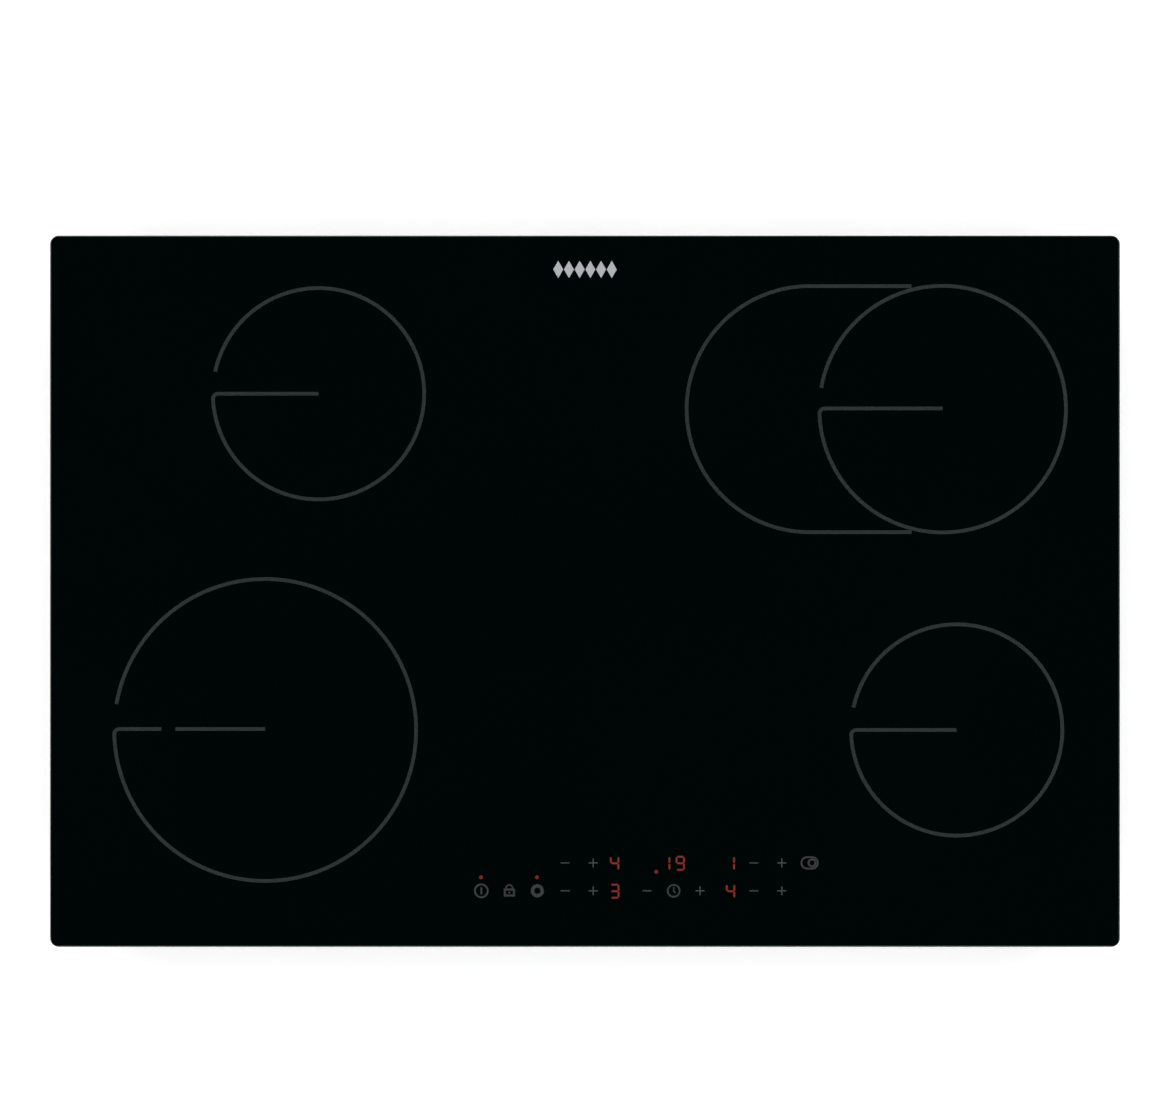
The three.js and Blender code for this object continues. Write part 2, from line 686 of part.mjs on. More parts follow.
function terminalBlock() {
  const { halfX, y, z, poles, pitch, screwWell, wireHole, groove } = BLOCK;
  const centres = along(poles, pitch);
  const wells = centres.map((x) =>
    rod("z", screwWell.radius, [z[0] - 1, z[0] + screwWell.depth], [x, screwWell.y], 10),
  );
  const wireHoles = centres.map((x) =>
    rod("y", wireHole.radius, [y[1] - wireHole.depth, y[1] + 1], [x, wireHole.z], 10),
  );
  const grooves = centres.slice(1).map((x) => {
    const at = x - pitch / 2;
    return box([at - groove.half, at + groove.half], [y[0] - 1, y[1] + 1], [z[0] - 1, z[0] + groove.depth]);
  });
  return cut(box([-halfX, halfX], y, z), [...wells, ...wireHoles, ...grooves]);
}

// The hinged plate under the terminals: its barrel and pins lie along the front edge.
function terminalCover() {
  const { bottom, top, end, neckEnd, halfX, neckHalfX, ribs, tongue } = COVER;
  const outline = polygon([
    [-neckHalfX, HINGE.y],
    [neckHalfX, HINGE.y],
    [neckHalfX, neckEnd],
    [halfX, neckEnd],
    [halfX, end],
    [-halfX, end],
    [-halfX, neckEnd],
    [-neckHalfX, neckEnd],
  ]);
  const pinEnd = HOUSING.halfX - 0.2;
  const ribY = [HINGE.y + ribs.fromHinge, end - ribs.fromEnd];
  const innerRibs = ribs.at.map((x) =>
    box([x - ribs.half, x + ribs.half], ribY, [top - ROOT, top + ribs.height]),
  );
  return join([
    slab(outline, [bottom, top]),
    rod("x", HINGE.barrelRadius, [-neckHalfX, neckHalfX], [HINGE.y, HINGE.z], 16),
    rod("x", HINGE.pinRadius, [-pinEnd, pinEnd], [HINGE.y, HINGE.z], 12),
    box([-tongue.halfX, tongue.halfX], tongue.y, [top - ROOT, top + tongue.height]),
    ...innerRibs,
  ]);
}

// The rubber bush through the rear wall of the tray, with its sleeve in the terminal housing.
function inletBush() {
  const { bore, sleeve, flange, start, lip, outside } = INLET;
  const inner = TRAY.halfY - SHEET - GAP; // the two faces that hold the wall between them
  const outer = TRAY.halfY + GAP;
  const end = TRAY.halfY + outside;
  const throat = INLET.hole - GAP;
  const turnedBush = turned([
    [bore, start],
    [sleeve, start],
    [sleeve, inner - lip],
    [flange, inner - lip],
    [flange, inner],
    [throat, inner],
    [throat, outer],
    [flange, outer],
    [flange - INLET.rounding, end],
    [bore + 1, end],
    [bore, end - 1],
    [bore, start],
  ], 20);
  return turnedBush.rotateX(-Math.PI / 2).translate(INLET.x, 0, INLET.z);
}

// ---------- fixing clamps ----------
// A cross-head screw, head down, that climbs through the tapped collar in the pocket's roof.
// Its own collar keeps the bush on it.
function clampScrew() {
  const { bottom, top, radius, edge, crossReach, crossHalfWidth, crossDepth } = CLAMP_HEAD;
  const collarBottom = BUSH.top + GAP;
  const collarTop = collarBottom + CLAMP_COLLAR.height;
  const body = solid(turned([
    [0, bottom],
    [radius - edge, bottom],
    [radius, bottom + edge],
    [radius, top],
    [THREAD.radius, top],
    [THREAD.radius, collarBottom],
    [CLAMP_COLLAR.radius, collarBottom],
    [CLAMP_COLLAR.radius, collarTop],
    [THREAD.radius, collarTop],
    [THREAD.radius, THREAD.top - THREAD.point],
    [THREAD.pointRadius, THREAD.top],
    [0, THREAD.top],
  ]));
  const recess = [bottom - 1, bottom + crossDepth];
  return cut(body, crossSlots([0, 0], crossReach, crossHalfWidth).map(([x, y]) => box(x, y, recess)));
}

// A sleeve that the screw lifts, waisted so that the arm turns on it but can't come off.
function clampBush() {
  const bore = THREAD.radius + GAP;
  return turned([
    [bore, BUSH.bottom],
    [BUSH.flangeRadius, BUSH.bottom],
    [BUSH.flangeRadius, BUSH.neck[0]],
    [BUSH.neckRadius, BUSH.neck[0]],
    [BUSH.neckRadius, BUSH.neck[1]],
    [BUSH.flangeRadius, BUSH.neck[1]],
    [BUSH.flangeRadius, BUSH.top],
    [bore, BUSH.top],
    [bore, BUSH.bottom],
  ]);
}

// The arm is cranked down to a flat tip that bears on the underside of a worktop.
function clampArm() {
  const { armLength, armHalfWidth, armSheet, hubRadius, tipBottom, crank, crankShift } = CLAMP;
  const hubBottom = BUSH.neck[0] + GAP;
  const side = polygon([
    [0, hubBottom],
    [crank[0], hubBottom],
    [crank[1], tipBottom],
    [armLength, tipBottom],
    [armLength, tipBottom + armSheet],
    [crank[1] + crankShift, tipBottom + armSheet],
    [crank[0] + crankShift, hubBottom + armSheet],
    [0, hubBottom + armSheet],
  ]);
  const bar = new THREE.ExtrudeGeometry(side, { depth: 2 * armHalfWidth, bevelEnabled: false });
  bar.rotateX(Math.PI / 2).translate(0, armHalfWidth, 0);
  const hubTop = hubBottom + armSheet;
  const hub = rod("z", hubRadius, [hubBottom, hubTop], [0, 0], 20);
  const eye = rod("z", BUSH.neckRadius + GAP, [hubBottom - 1, hubTop + 1], [0, 0], 20);
  return cut(join([solid(bar), hub]), [eye]);
}

function addClamp(corner) {
  const place = new THREE.Group();
  place.position.set(corner.sx * CLAMP.x, corner.sy * CLAMP.y, 0);
  // The arm is parked inside the tray's outline, along its long side and towards the middle.
  place.rotation.z = corner.sx > 0 ? Math.PI : 0;
  place.add(addSolid("clamp_screw_" + corner.name, clampScrew(), "plainSteel"));
  place.add(addPiece("clamp_bush_" + corner.name, clampBush(), "brass"));
  place.add(addSolid("clamp_arm_" + corner.name, clampArm(), "zincSteel"));
  hob.add(place);
}

// ---------- wiring ----------
const MAINS_WIRES = [
  [20, 174, 13],
  [20, 164, 14],
  [13, 150, 14],
  [-4, 140, 14],
  [-8, 133, 14],
  [-8, 126, 14],
];

// A harness from the board to the two heaters of one side, with a branch to the board.
function heaterWiring(points, branch) {
  return join([solid(cable(points, 3, 24)), solid(cable(branch, 2.6, 4))]);
}

const LEFT_WIRES = [
  [-96, 131, 29],
  [-96, 122, 28],
  [-91, 85, 14],
  [-88, 0, 13],
  [-92, -60, 16],
  [-100, -82, 28],
  [-100, -89, 29],
];
const LEFT_BRANCH = [[-88, 0, 13], [-81, 0, 13], [-74.4, 0, 13]];
const RIGHT_WIRES = [
  [52, 120, 29],
  [52, 112, 28],
  [48, 75, 13],
  [52, 0, 13],
  [96, -80, 16],
  [145, -99.8, 28],
  [158, -99.8, 29],
];
const RIGHT_BRANCH = [[48, 75, 13], [38, 75, 13], [29.4, 75, 13]];

// ---------- the whole hob ----------
addPiece("glass_ceramic_plate", glassPlate(), "glass");
addSolid("worktop_seal", worktopSeal(), "foam");
addSolid("glass_carrier_frame", glassFrame(), "paintedSteel");
addSolid("base_tray", baseTray(), "zincSteel");
for (const corner of CORNERS) addSolid("frame_screw_" + corner.name, frameScrew(corner), "plainSteel");

for (const zone of ZONES) {
  addSolid("heater_dish_" + zone.name, heaterDish(zone), "zincSteel");
  addSolid("heater_insulation_" + zone.name, heaterFibre(zone), "fibre");
  addSolid("heater_limiter_" + zone.name, limiter(zone), "ceramic");
  const well = zone.radius - DISH.wall - GAP - FIBRE.wall - COIL.margin;
  if (!zone.divider) {
    addSolid("heater_element_" + zone.name, spiralElement(zone, COIL.start, well), "alloy");
    continue;
  }
  const core = spiralElement(zone, COIL.start, zone.divider - COIL.margin);
  addSolid("heater_element_" + zone.name + "_inner", core, "alloy");
  const from = zone.divider + FIBRE.dividerWall + COIL.margin;
  const second = zone.stretch
    ? crescentElement(zone, from, zone.stretch + well)
    : spiralElement(zone, from, well);
  addSolid("heater_element_" + zone.name + "_outer", second, "alloy");
}
addSolid("heater_rail_left", heaterRail(RAIL.at.left, [ZONES[0].y, ZONES[1].y]), "zincSteel");
addSolid("heater_rail_right", heaterRail(RAIL.at.right, [ZONES[2].y, ZONES[3].y]), "zincSteel");

addSolid("control_carrier", controlCarrier(), "blackPlastic");
addSolid("touch_board", touchBoard(), "board");
for (const display of DISPLAYS) addSolid(display.name, displayModule(display), "display");
addPiece("touch_ribbon", touchRibbon(), "wire");

addSolid("power_board", powerBoard(), "board");
RELAY.y.forEach((y, i) => addSolid("relay_" + (i + 1), relay(y), "relay"));
addSolid("transformer", transformer(), "iron");

addSolid("terminal_housing", terminalHousing(), "blackPlastic");
addSolid("terminal_block", terminalBlock(), "terminal");
addSolid("terminal_cover", terminalCover(), "blackPlastic");
addPiece("cable_inlet_bush", inletBush(), "rubber");

addPiece("mains_wiring", cable(MAINS_WIRES, 3.8, 14), "wire");
addSolid("heater_wiring_left", heaterWiring(LEFT_WIRES, LEFT_BRANCH), "wire");
addSolid("heater_wiring_right", heaterWiring(RIGHT_WIRES, RIGHT_BRANCH), "wire");

for (const corner of CORNERS) addClamp(corner);

export default hob;
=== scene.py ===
"""A four-zone built-in glass-ceramic hob with touch controls: its looks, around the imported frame.

The glass faces up, +X is to the right and -Y is the front edge with the controls.
Lengths in the tables are millimetres, and MM turns them into Blender's metres.
"""
import json
import math

import bpy
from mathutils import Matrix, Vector


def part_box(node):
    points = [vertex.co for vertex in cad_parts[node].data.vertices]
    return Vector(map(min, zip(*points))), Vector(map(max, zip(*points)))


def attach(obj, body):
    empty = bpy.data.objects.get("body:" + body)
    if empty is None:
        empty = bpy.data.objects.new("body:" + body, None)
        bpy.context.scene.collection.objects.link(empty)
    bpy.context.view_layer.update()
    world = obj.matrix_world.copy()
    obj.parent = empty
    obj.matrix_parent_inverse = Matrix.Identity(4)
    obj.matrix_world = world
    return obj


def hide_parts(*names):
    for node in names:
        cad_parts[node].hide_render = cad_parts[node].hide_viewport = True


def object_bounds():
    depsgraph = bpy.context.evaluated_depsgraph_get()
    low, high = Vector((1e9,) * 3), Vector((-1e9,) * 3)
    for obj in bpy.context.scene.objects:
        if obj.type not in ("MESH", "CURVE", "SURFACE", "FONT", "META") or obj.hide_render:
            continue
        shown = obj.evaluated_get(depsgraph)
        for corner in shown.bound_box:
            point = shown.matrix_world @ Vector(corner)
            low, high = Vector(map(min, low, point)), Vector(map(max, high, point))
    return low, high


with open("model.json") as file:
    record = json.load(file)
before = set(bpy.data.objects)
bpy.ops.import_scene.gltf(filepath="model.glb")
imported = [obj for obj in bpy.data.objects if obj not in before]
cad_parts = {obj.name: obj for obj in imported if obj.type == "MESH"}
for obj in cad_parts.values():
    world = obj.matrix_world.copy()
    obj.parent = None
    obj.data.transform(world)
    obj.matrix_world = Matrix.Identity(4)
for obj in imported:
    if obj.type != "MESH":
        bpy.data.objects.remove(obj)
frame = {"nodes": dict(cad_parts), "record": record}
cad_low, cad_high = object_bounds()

MM = 0.001

# ---------- sizes ----------
GLASS_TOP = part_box("glass_ceramic_plate")[1].z / MM
UNDER_GLASS = 39.7  # a gap below the glass
GAP = 0.3  # between neighbouring pieces
INK_LIFT = 0.01  # clear of the glass, so that the two surfaces never meet
INK_HEIGHT = 0.04
LIT_HEIGHT = 0.05

LINE_WIDTH = 2.6
RING_CORNER = 3.7  # where a ring turns into its radial line
ARC_STEP = 2  # degrees, as are the other steps along circles
RING_STEP = 6
DISC_STEP = 15
MITRE_LIMIT = 2  # half widths from the line to the tip of a corner

ZONES = {
    "rear_left": (-191.7, 142.1),
    "front_left": (-230.1, -99.8),
    "rear_right": (257.3, 131.0),
    "front_right": (267.4, -99.8),
}
# Each arc ends at the angle `end`, just above the radial line, which lies `shift` above the centre.
RINGS = {
    "rear_left": {"radius": 76.0, "end": 167.9, "shift": 0.0},
    "front_left": {"radius": 108.6, "end": 170.1, "shift": 0.7, "break": (64.6, 74.6)},
    "rear_right": {"radius": 88.7, "end": 170.0, "shift": 0.5},
    "front_right": {"radius": 76.0, "end": 167.7, "shift": 0.0},
}
OVAL = {"centre": (161.6, 131.0), "radius": 88.5, "line_end": 234.9}

UPPER_ROW = -195.4
LOWER_ROW = -215.5
MINUS_KEYS = {UPPER_ROW: [-14.3, 121.4], LOWER_ROW: [-14.3, 44.6, 121.5]}
PLUS_KEYS = {UPPER_ROW: [5.9, 141.6], LOWER_ROW: [5.9, 82.8, 141.6]}
SIGN_HALF = 3.2
MINUS_WIDTH = 1.0
PLUS_WIDTH = 0.8

DIGIT_DROP = 0.3  # the digits stand a little lower than the keys
DIGITS = [
    ("digit_rear_left", "4", 21.3, UPPER_ROW),
    ("digit_front_left", "3", 21.4, LOWER_ROW),
    ("digit_timer_tens", "1", 58.0, UPPER_ROW),
    ("digit_timer_units", "9", 68.5, UPPER_ROW),
    ("digit_rear_right", "1", 104.5, UPPER_ROW),
    ("digit_front_right", "4", 104.7, LOWER_ROW),
]
DIGIT_HALF_WIDTH = 2.7
DIGIT_HALF_HEIGHT = 4.7
SEGMENT_WIDTH = 1.3
SEGMENT_GAP = 0.15
BAR_HEIGHT = 0.15  # of the unlit bars on top of the display modules
BAR_ROOT = 0.05
LAMPS = [(-74.9, -205.8), (-34.6, -205.8), (51.3, -201.8)]
LAMP_RADIUS = 1.35

EMBLEM = {"centre": (0.0, 231.5), "count": 6, "pitch": 7.7, "half_width": 3.6, "half_height": 6.2}


# ---------- meshes ----------
def put_in_scene(name, data):
    made = bpy.data.objects.new(name, data)
    bpy.context.collection.objects.link(made)
    return made


def make_object(name, vertices, faces, look, body, smooth=False):
    """A mesh in millimetres as an object that rides on a body."""
    mesh = bpy.data.meshes.new(name)
    mesh.from_pydata([Vector(v) * MM for v in vertices], [], faces)
    mesh.materials.append(MATERIALS[look])
    if smooth:
        mesh.polygons.foreach_set("use_smooth", [True] * len(mesh.polygons))
    mesh.validate()
    made = put_in_scene(name, mesh)
    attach(made, body)
    return made


def polar(centre, radius, angle):
    x, y = centre
    return (x + radius * math.cos(angle), y + radius * math.sin(angle))


def arc(centre, radius, start, end, step=ARC_STEP):
    """Points along a circle from one angle to another, in degrees, either way round."""
    count = max(int(abs(end - start) / step), 1)
    angles = [math.radians(start + (end - start) * i / count) for i in range(count + 1)]
    return [polar(centre, radius, angle) for angle in angles]


def circle(centre, radius, step=RING_STEP):
    return arc(centre, radius, 0, 360, step)[:-1]


def places(rows):
    """The points of a table that holds the x places of each row."""
    return [(x, y) for y, row in rows.items() for x in row]


def around(centre, half):
    return (centre - half, centre + half)


def inset(span, margin):
    return (span[0] + margin, span[1] - margin)


class FlatShape:
    """Flat strokes and areas of one thickness, gathered into one mesh."""

    def __init__(self, bottom, height):
        self.bottom = bottom
        self.top = bottom + height
        self.vertices = []
        self.faces = []

    def area(self, outline):
        """A filled outline, anticlockwise."""
        base = len(self.vertices)
        count = len(outline)
        self.vertices += [(x, y, self.bottom) for x, y in outline]
        self.vertices += [(x, y, self.top) for x, y in outline]
        self.faces.append([base + i for i in reversed(range(count))])
        self.faces.append([base + count + i for i in range(count)])
        for i in range(count):
            j = (i + 1) % count
            self.faces.append([base + i, base + j, base + count + j, base + count + i])

    def disc(self, centre, radius):
        self.area(circle(centre, radius, DISC_STEP))

    def stroke(self, line, width, closed=False):
        """A band of even width along a line, mitred at its corners."""
        base = len(self.vertices)
        count = len(line)
        for i, (x, y) in enumerate(line):
            before = line[i - 1] if i or closed else None
            after = line[(i + 1) % count] if i + 1 < count or closed else None
            side, reach = mitre(before, (x, y), after)
            for z in (self.bottom, self.top):
                for sign in (1, -1):
                    offset = sign * reach * width / 2
                    self.vertices.append((x + side[0] * offset, y + side[1] * offset, z))
        for i in range(count if closed else count - 1):
            a = base + 4 * i
            b = base + 4 * ((i + 1) % count)
            self.faces.append([a + 2, a + 3, b + 3, b + 2])
            self.faces.append([a + 1, a, b, b + 1])
            self.faces.append([a, a + 2, b + 2, b])
            self.faces.append([a + 3, a + 1, b + 1, b + 3])
        if not closed:
            last = base + 4 * (count - 1)
            self.faces.append([base, base + 1, base + 3, base + 2])
            self.faces.append([last + 1, last, last + 2, last + 3])

    def make(self, name, look, body="hob"):
        return make_object(name, self.vertices, self.faces, look, body)


def mitre(before, here, after):
    """The sideways direction at a corner, and how much further out its mitre reaches."""
    into = direction(before, here) if before else direction(here, after)
    out = direction(here, after) if after else into
    along = (into[0] + out[0], into[1] + out[1])
    length = math.hypot(*along)
    side = (-along[1] / length, along[0] / length)
    straight = side[0] * -into[1] + side[1] * into[0]
    return side, min(1 / straight, MITRE_LIMIT)


def direction(a, b):
    length = math.dist(a, b)
    return ((b[0] - a[0]) / length, (b[1] - a[1]) / length)


def printed():
    return FlatShape(GLASS_TOP + INK_LIFT, INK_HEIGHT)


def lit():
    return FlatShape(GLASS_TOP + INK_LIFT, LIT_HEIGHT)


# ---------- material building blocks ----------
def set_stops(ramp, stops):
    elements = ramp.color_ramp.elements
    while len(elements) < len(stops):
        elements.new(0.5)
    for element, (position, colour) in zip(elements, stops):
        element.position = position
        element.color = (*colour, 1.0)


# The mix node has sockets for each data type, and these are the factor and the colours.
MIX_COLOUR_INPUTS = (0, 6, 7)
MIX_COLOUR_OUTPUT = 2


class Paint:
    """A Principled material with helpers for the textures that feed it."""

    def __init__(self, name, roughness=0.5, metallic=0.0):
        self.material = bpy.data.materials.new(name)
        self.material.use_nodes = True
        self.tree = self.material.node_tree
        self.shader = self.tree.nodes["Principled BSDF"]
        self.shader.inputs["Roughness"].default_value = roughness
        self.shader.inputs["Metallic"].default_value = metallic
        self.place = self.tree.nodes.new("ShaderNodeTexCoord").outputs["Object"]

    def node(self, kind, links=(), **settings):
        made = self.tree.nodes.new(kind)
        for key, value in settings.items():
            setattr(made, key, value)
        for socket, value in dict(links).items():
            self.join(value, made.inputs[socket])
        return made

    def stretched(self, scale):
        """Object coordinates scaled along each axis, for brushed or layered textures."""
        return self.node("ShaderNodeMapping", {"Vector": self.place, "Scale": scale}).outputs[0]

    def noise(self, scale, detail=4.0, roughness=0.5, vector=None):
        links = {"Vector": vector or self.place, "Scale": scale, "Detail": detail, "Roughness": roughness}
        return self.node("ShaderNodeTexNoise", links).outputs["Fac"]

    def cells(self, scale, output="Distance", feature="F1", vector=None):
        links = {"Vector": vector or self.place, "Scale": scale}
        return self.node("ShaderNodeTexVoronoi", links, feature=feature).outputs[output]

    def ramp(self, value, stops):
        """A value turned into colours: stops are (position, colour) pairs."""
        made = self.node("ShaderNodeValToRGB", {"Fac": value})
        set_stops(made, stops)
        return made.outputs["Color"]

    def levels(self, value, low, high, new_low, new_high):
        links = {"Value": value, "From Min": low, "From Max": high, "To Min": new_low, "To Max": new_high}
        return self.node("ShaderNodeMapRange", links).outputs["Result"]

    def bands(self, scale, way, vector=None, distortion=0.0, detail=2.0):
        links = {"Vector": vector or self.place, "Scale": scale, "Distortion": distortion, "Detail": detail}
        return self.node("ShaderNodeTexWave", links, bands_direction=way).outputs["Fac"]

    def mix(self, amount, first, second):
        made = self.node("ShaderNodeMix", data_type="RGBA")
        for index, value in zip(MIX_COLOUR_INPUTS, (amount, first, second)):
            self.join(value, made.inputs[index])
        return made.outputs[MIX_COLOUR_OUTPUT]

    def join(self, value, socket):
        if isinstance(value, bpy.types.NodeSocket):
            self.tree.links.new(value, socket)
        else:
            socket.default_value = (*value, 1.0) if socket.type == "RGBA" else value

    def colour(self, value):
        self.join(value, self.shader.inputs["Base Color"])

    def tint(self, pattern, tints):
        self.colour(self.ramp(pattern, tints))

    def roughness(self, value):
        self.join(value, self.shader.inputs["Roughness"])

    def bump(self, height, strength, distance_mm):
        links = {"Height": height, "Strength": strength, "Distance": distance_mm * MM}
        normal = self.node("ShaderNodeBump", links).outputs["Normal"]
        self.tree.links.new(normal, self.shader.inputs["Normal"])

    def finish(self, pattern, tints, rough, bump, relief=None, span=(0.3, 0.7)):
        """One pattern for the colour, the roughness (low, high) and, unless there is a relief, the bump."""
        self.tint(pattern, tints)
        self.roughness(self.levels(pattern, *span, *rough))
        self.bump(relief or pattern, *bump)
        return self.material


# ---------- materials ----------
def black_glass():
    paint = Paint("black_glass_ceramic", roughness=0.06)
    paint.shader.inputs["IOR"].default_value = 1.53
    cloud = paint.noise(6, detail=2)
    paint.tint(cloud, [(0.35, (0.0001, 0.0016, 0.0016)), (0.7, (0.0002, 0.0021, 0.0021))])
    wipe = paint.noise(30, detail=6, roughness=0.65)
    paint.roughness(paint.levels(wipe, 0.3, 0.8, 0.045, 0.085))
    paint.bump(paint.noise(90, detail=1), 0.02, 0.3)
    return paint.material


def mottled(name, roughness, noise, tints, rough, bump, relief=None, metallic=0.0):
    """A material of one noise (scale, detail, roughness), with a noise of its own for the relief or not."""
    paint = Paint(name, roughness, metallic)
    relief = paint.noise(*relief) if relief else None
    return paint.finish(paint.noise(*noise), tints, rough, bump, relief)


def enamel(name, colour, spread=0.12):
    """Printed and fired on the glass, so faintly grainy and duller than it."""
    dark, light = (tuple(c * share for c in colour) for share in around(1, spread))
    return mottled(name, 0.35, (900, 3, 0.7), [(0.35, dark), (0.65, light)], (0.3, 0.45), (0.15, 0.02))


DIM_SHARE = 0.78  # how bright the dull patches of a lit bar are


def red_light(name, colour):
    """A lit segment behind the glass: a little uneven along its length."""
    paint = Paint(name, roughness=0.25)
    paint.colour((0.02, 0.002, 0.002))
    patch = paint.noise(420, detail=2)
    dim = tuple(c * DIM_SHARE for c in colour)
    paint.join(paint.ramp(patch, [(0.35, dim), (0.65, colour)]), paint.shader.inputs["Emission Color"])
    paint.shader.inputs["Emission Strength"].default_value = 1.0
    return paint.material


def zinc_steel():
    """Galvanised sheet: crystals of slightly different greys with feathered edges, and dulled patches."""
    paint = Paint("zinc_steel", roughness=0.4, metallic=1.0)
    feather = paint.node("ShaderNodeTexNoise", {"Vector": paint.place, "Scale": 420.0, "Detail": 3.0})
    reach = (0.004, 0.004, 0.004)  # metres
    links = {0: feather.outputs["Color"], 1: reach, 2: paint.place}
    warped = paint.node("ShaderNodeVectorMath", links, operation="MULTIPLY_ADD").outputs[0]
    crystal = paint.cells(210, output="Color", vector=warped)
    shade = paint.node("ShaderNodeSeparateColor", {"Color": crystal}).outputs[0]
    spangle = paint.ramp(shade, [(0.0, (0.51, 0.525, 0.54)), (1.0, (0.61, 0.625, 0.64))])
    stain = paint.levels(paint.noise(14, detail=6, roughness=0.6), 0.5, 0.75, 0.0, 0.45)
    paint.colour(paint.mix(stain, spangle, (0.31, 0.319, 0.329)))
    paint.roughness(paint.levels(shade, 0.0, 1.0, 0.28, 0.46))
    paint.bump(paint.noise(260, detail=5, roughness=0.6), 0.12, 0.08)
    return paint.material


def powder_coat():
    tints = [(0.3, (0.012, 0.013, 0.014)), (0.7, (0.024, 0.025, 0.027))]
    return mottled("black_powder_coat", 0.5, (700, 2), tints, (0.42, 0.6), (0.35, 0.06))


def turned_steel():
    paint = Paint("plated_screw_steel", roughness=0.3, metallic=1.0)
    lathe = paint.noise(60, detail=3, vector=paint.stretched((1.0, 1.0, 60.0)))
    tints = [(0.3, (0.42, 0.43, 0.45)), (0.7, (0.66, 0.67, 0.69))]
    return paint.finish(lathe, tints, (0.22, 0.42), (0.1, 0.03))


def brass():
    paint = Paint("brass", roughness=0.3, metallic=1.0)
    tarnish = paint.noise(180, detail=5, roughness=0.6)
    tints = [(0.35, (0.42, 0.27, 0.08)), (0.65, (0.72, 0.52, 0.2))]
    lathe = paint.noise(60, detail=2, vector=paint.stretched((1.0, 1.0, 50.0)))
    return paint.finish(tarnish, tints, (0.42, 0.24), (0.08, 0.03), lathe)


def foam():
    """Closed-cell sealing tape."""
    paint = Paint("black_foam", roughness=0.95)
    cell = paint.cells(1400)
    paint.tint(cell, [(0.1, (0.008, 0.008, 0.009)), (0.6, (0.03, 0.03, 0.033))])
    paint.bump(cell, 0.6, 0.2)
    return paint.material


def moulded_plastic(name, dark, light, roughness):
    paint = Paint(name, roughness)
    grain = paint.noise(1300, detail=2)
    cloud = paint.noise(25, detail=2)
    paint.colour(paint.mix(paint.levels(cloud, 0.35, 0.65, 0.0, 1.0), dark, light))
    paint.roughness(paint.levels(grain, 0.3, 0.7, roughness - 0.08, roughness + 0.1))
    paint.bump(grain, 0.25, 0.05)
    return paint.material


def mineral_fibre():
    """Pressed fibre board: pale, crumbly and flecked."""
    paint = Paint("mineral_fibre", roughness=0.95)
    lump = paint.noise(120, detail=8, roughness=0.7)
    fleck = paint.levels(paint.cells(500), 0.05, 0.2, 1.0, 0.0)
    board = paint.ramp(lump, [(0.3, (0.55, 0.51, 0.43)), (0.7, (0.82, 0.79, 0.7))])
    paint.colour(paint.mix(fleck, board, (0.35, 0.31, 0.25)))
    paint.bump(lump, 0.8, 0.6)
    return paint.material


def heating_alloy():
    """Oxidised heating strip, with the browns and blues of heat."""
    tints = [(0.3, (0.14, 0.1, 0.08)), (0.5, (0.26, 0.2, 0.16)), (0.7, (0.16, 0.17, 0.22))]
    look = ("oxidised_heating_alloy", 0.55, (40, 4, 0.6), tints, (0.45, 0.7), (0.3, 0.04))
    return mottled(*look, relief=(900, 3), metallic=0.9)


def glazed_steatite():
    tints = [(0.3, (0.62, 0.57, 0.47)), (0.65, (0.8, 0.76, 0.66))]
    return mottled("cream_steatite", 0.5, (700, 5, 0.7), tints, (0.4, 0.62), (0.25, 0.05))


def circuit_board():
    """Green lacquer over a web of copper tracks."""
    paint = Paint("circuit_board", roughness=0.35)
    tracks = paint.levels(paint.cells(230, feature="DISTANCE_TO_EDGE"), 0.03, 0.06, 1.0, 0.0)
    cloth = paint.noise(1500, detail=2)
    lacquer = paint.ramp(cloth, [(0.3, (0.012, 0.09, 0.04)), (0.7, (0.02, 0.14, 0.065))])
    paint.colour(paint.mix(tracks, lacquer, (0.06, 0.26, 0.1)))
    paint.roughness(paint.levels(tracks, 0.0, 1.0, 0.38, 0.26))
    paint.bump(tracks, 0.3, 0.04)
    return paint.material


def laminated_iron():
    """A stack of varnished sheets, so its sides show fine even lines."""
    paint = Paint("laminated_iron", roughness=0.5, metallic=0.7)
    sheets = paint.bands(320.0, "Y", distortion=0.4, detail=1.0)
    tints = [(0.2, (0.05, 0.05, 0.052)), (0.8, (0.17, 0.165, 0.16))]
    return paint.finish(sheets, tints, (0.65, 0.4), (0.5, 0.1), span=(0.0, 1.0))


def smoked_window():
    """The case of a display module: dark red, faintly clouded plastic."""
    tints = [(0.3, (0.03, 0.006, 0.005)), (0.7, (0.06, 0.012, 0.01))]
    return mottled("smoked_display_plastic", 0.25, (160, 3), tints, (0.18, 0.32), (0.1, 0.05))


def rubber():
    tints = [(0.3, (0.008, 0.008, 0.008)), (0.75, (0.03, 0.03, 0.031))]
    return mottled("inlet_rubber", 0.8, (220, 6, 0.65), tints, (0.7, 0.92), (0.3, 0.06), relief=(900, 3))


def braided_sleeve():
    """Glass-fibre sleeving: two crossed sets of fine bands."""
    paint = Paint("braided_sleeve", roughness=0.8)
    there = paint.bands(500.0, "DIAGONAL")
    back = paint.bands(500.0, "DIAGONAL", paint.stretched((-1.0, 1.0, 1.0)))
    weave = paint.node("ShaderNodeMath", {0: there, 1: back}, operation="MULTIPLY").outputs[0]
    paint.tint(weave, [(0.1, (0.03, 0.03, 0.034)), (0.7, (0.11, 0.11, 0.12))])
    paint.bump(weave, 0.5, 0.15)
    return paint.material


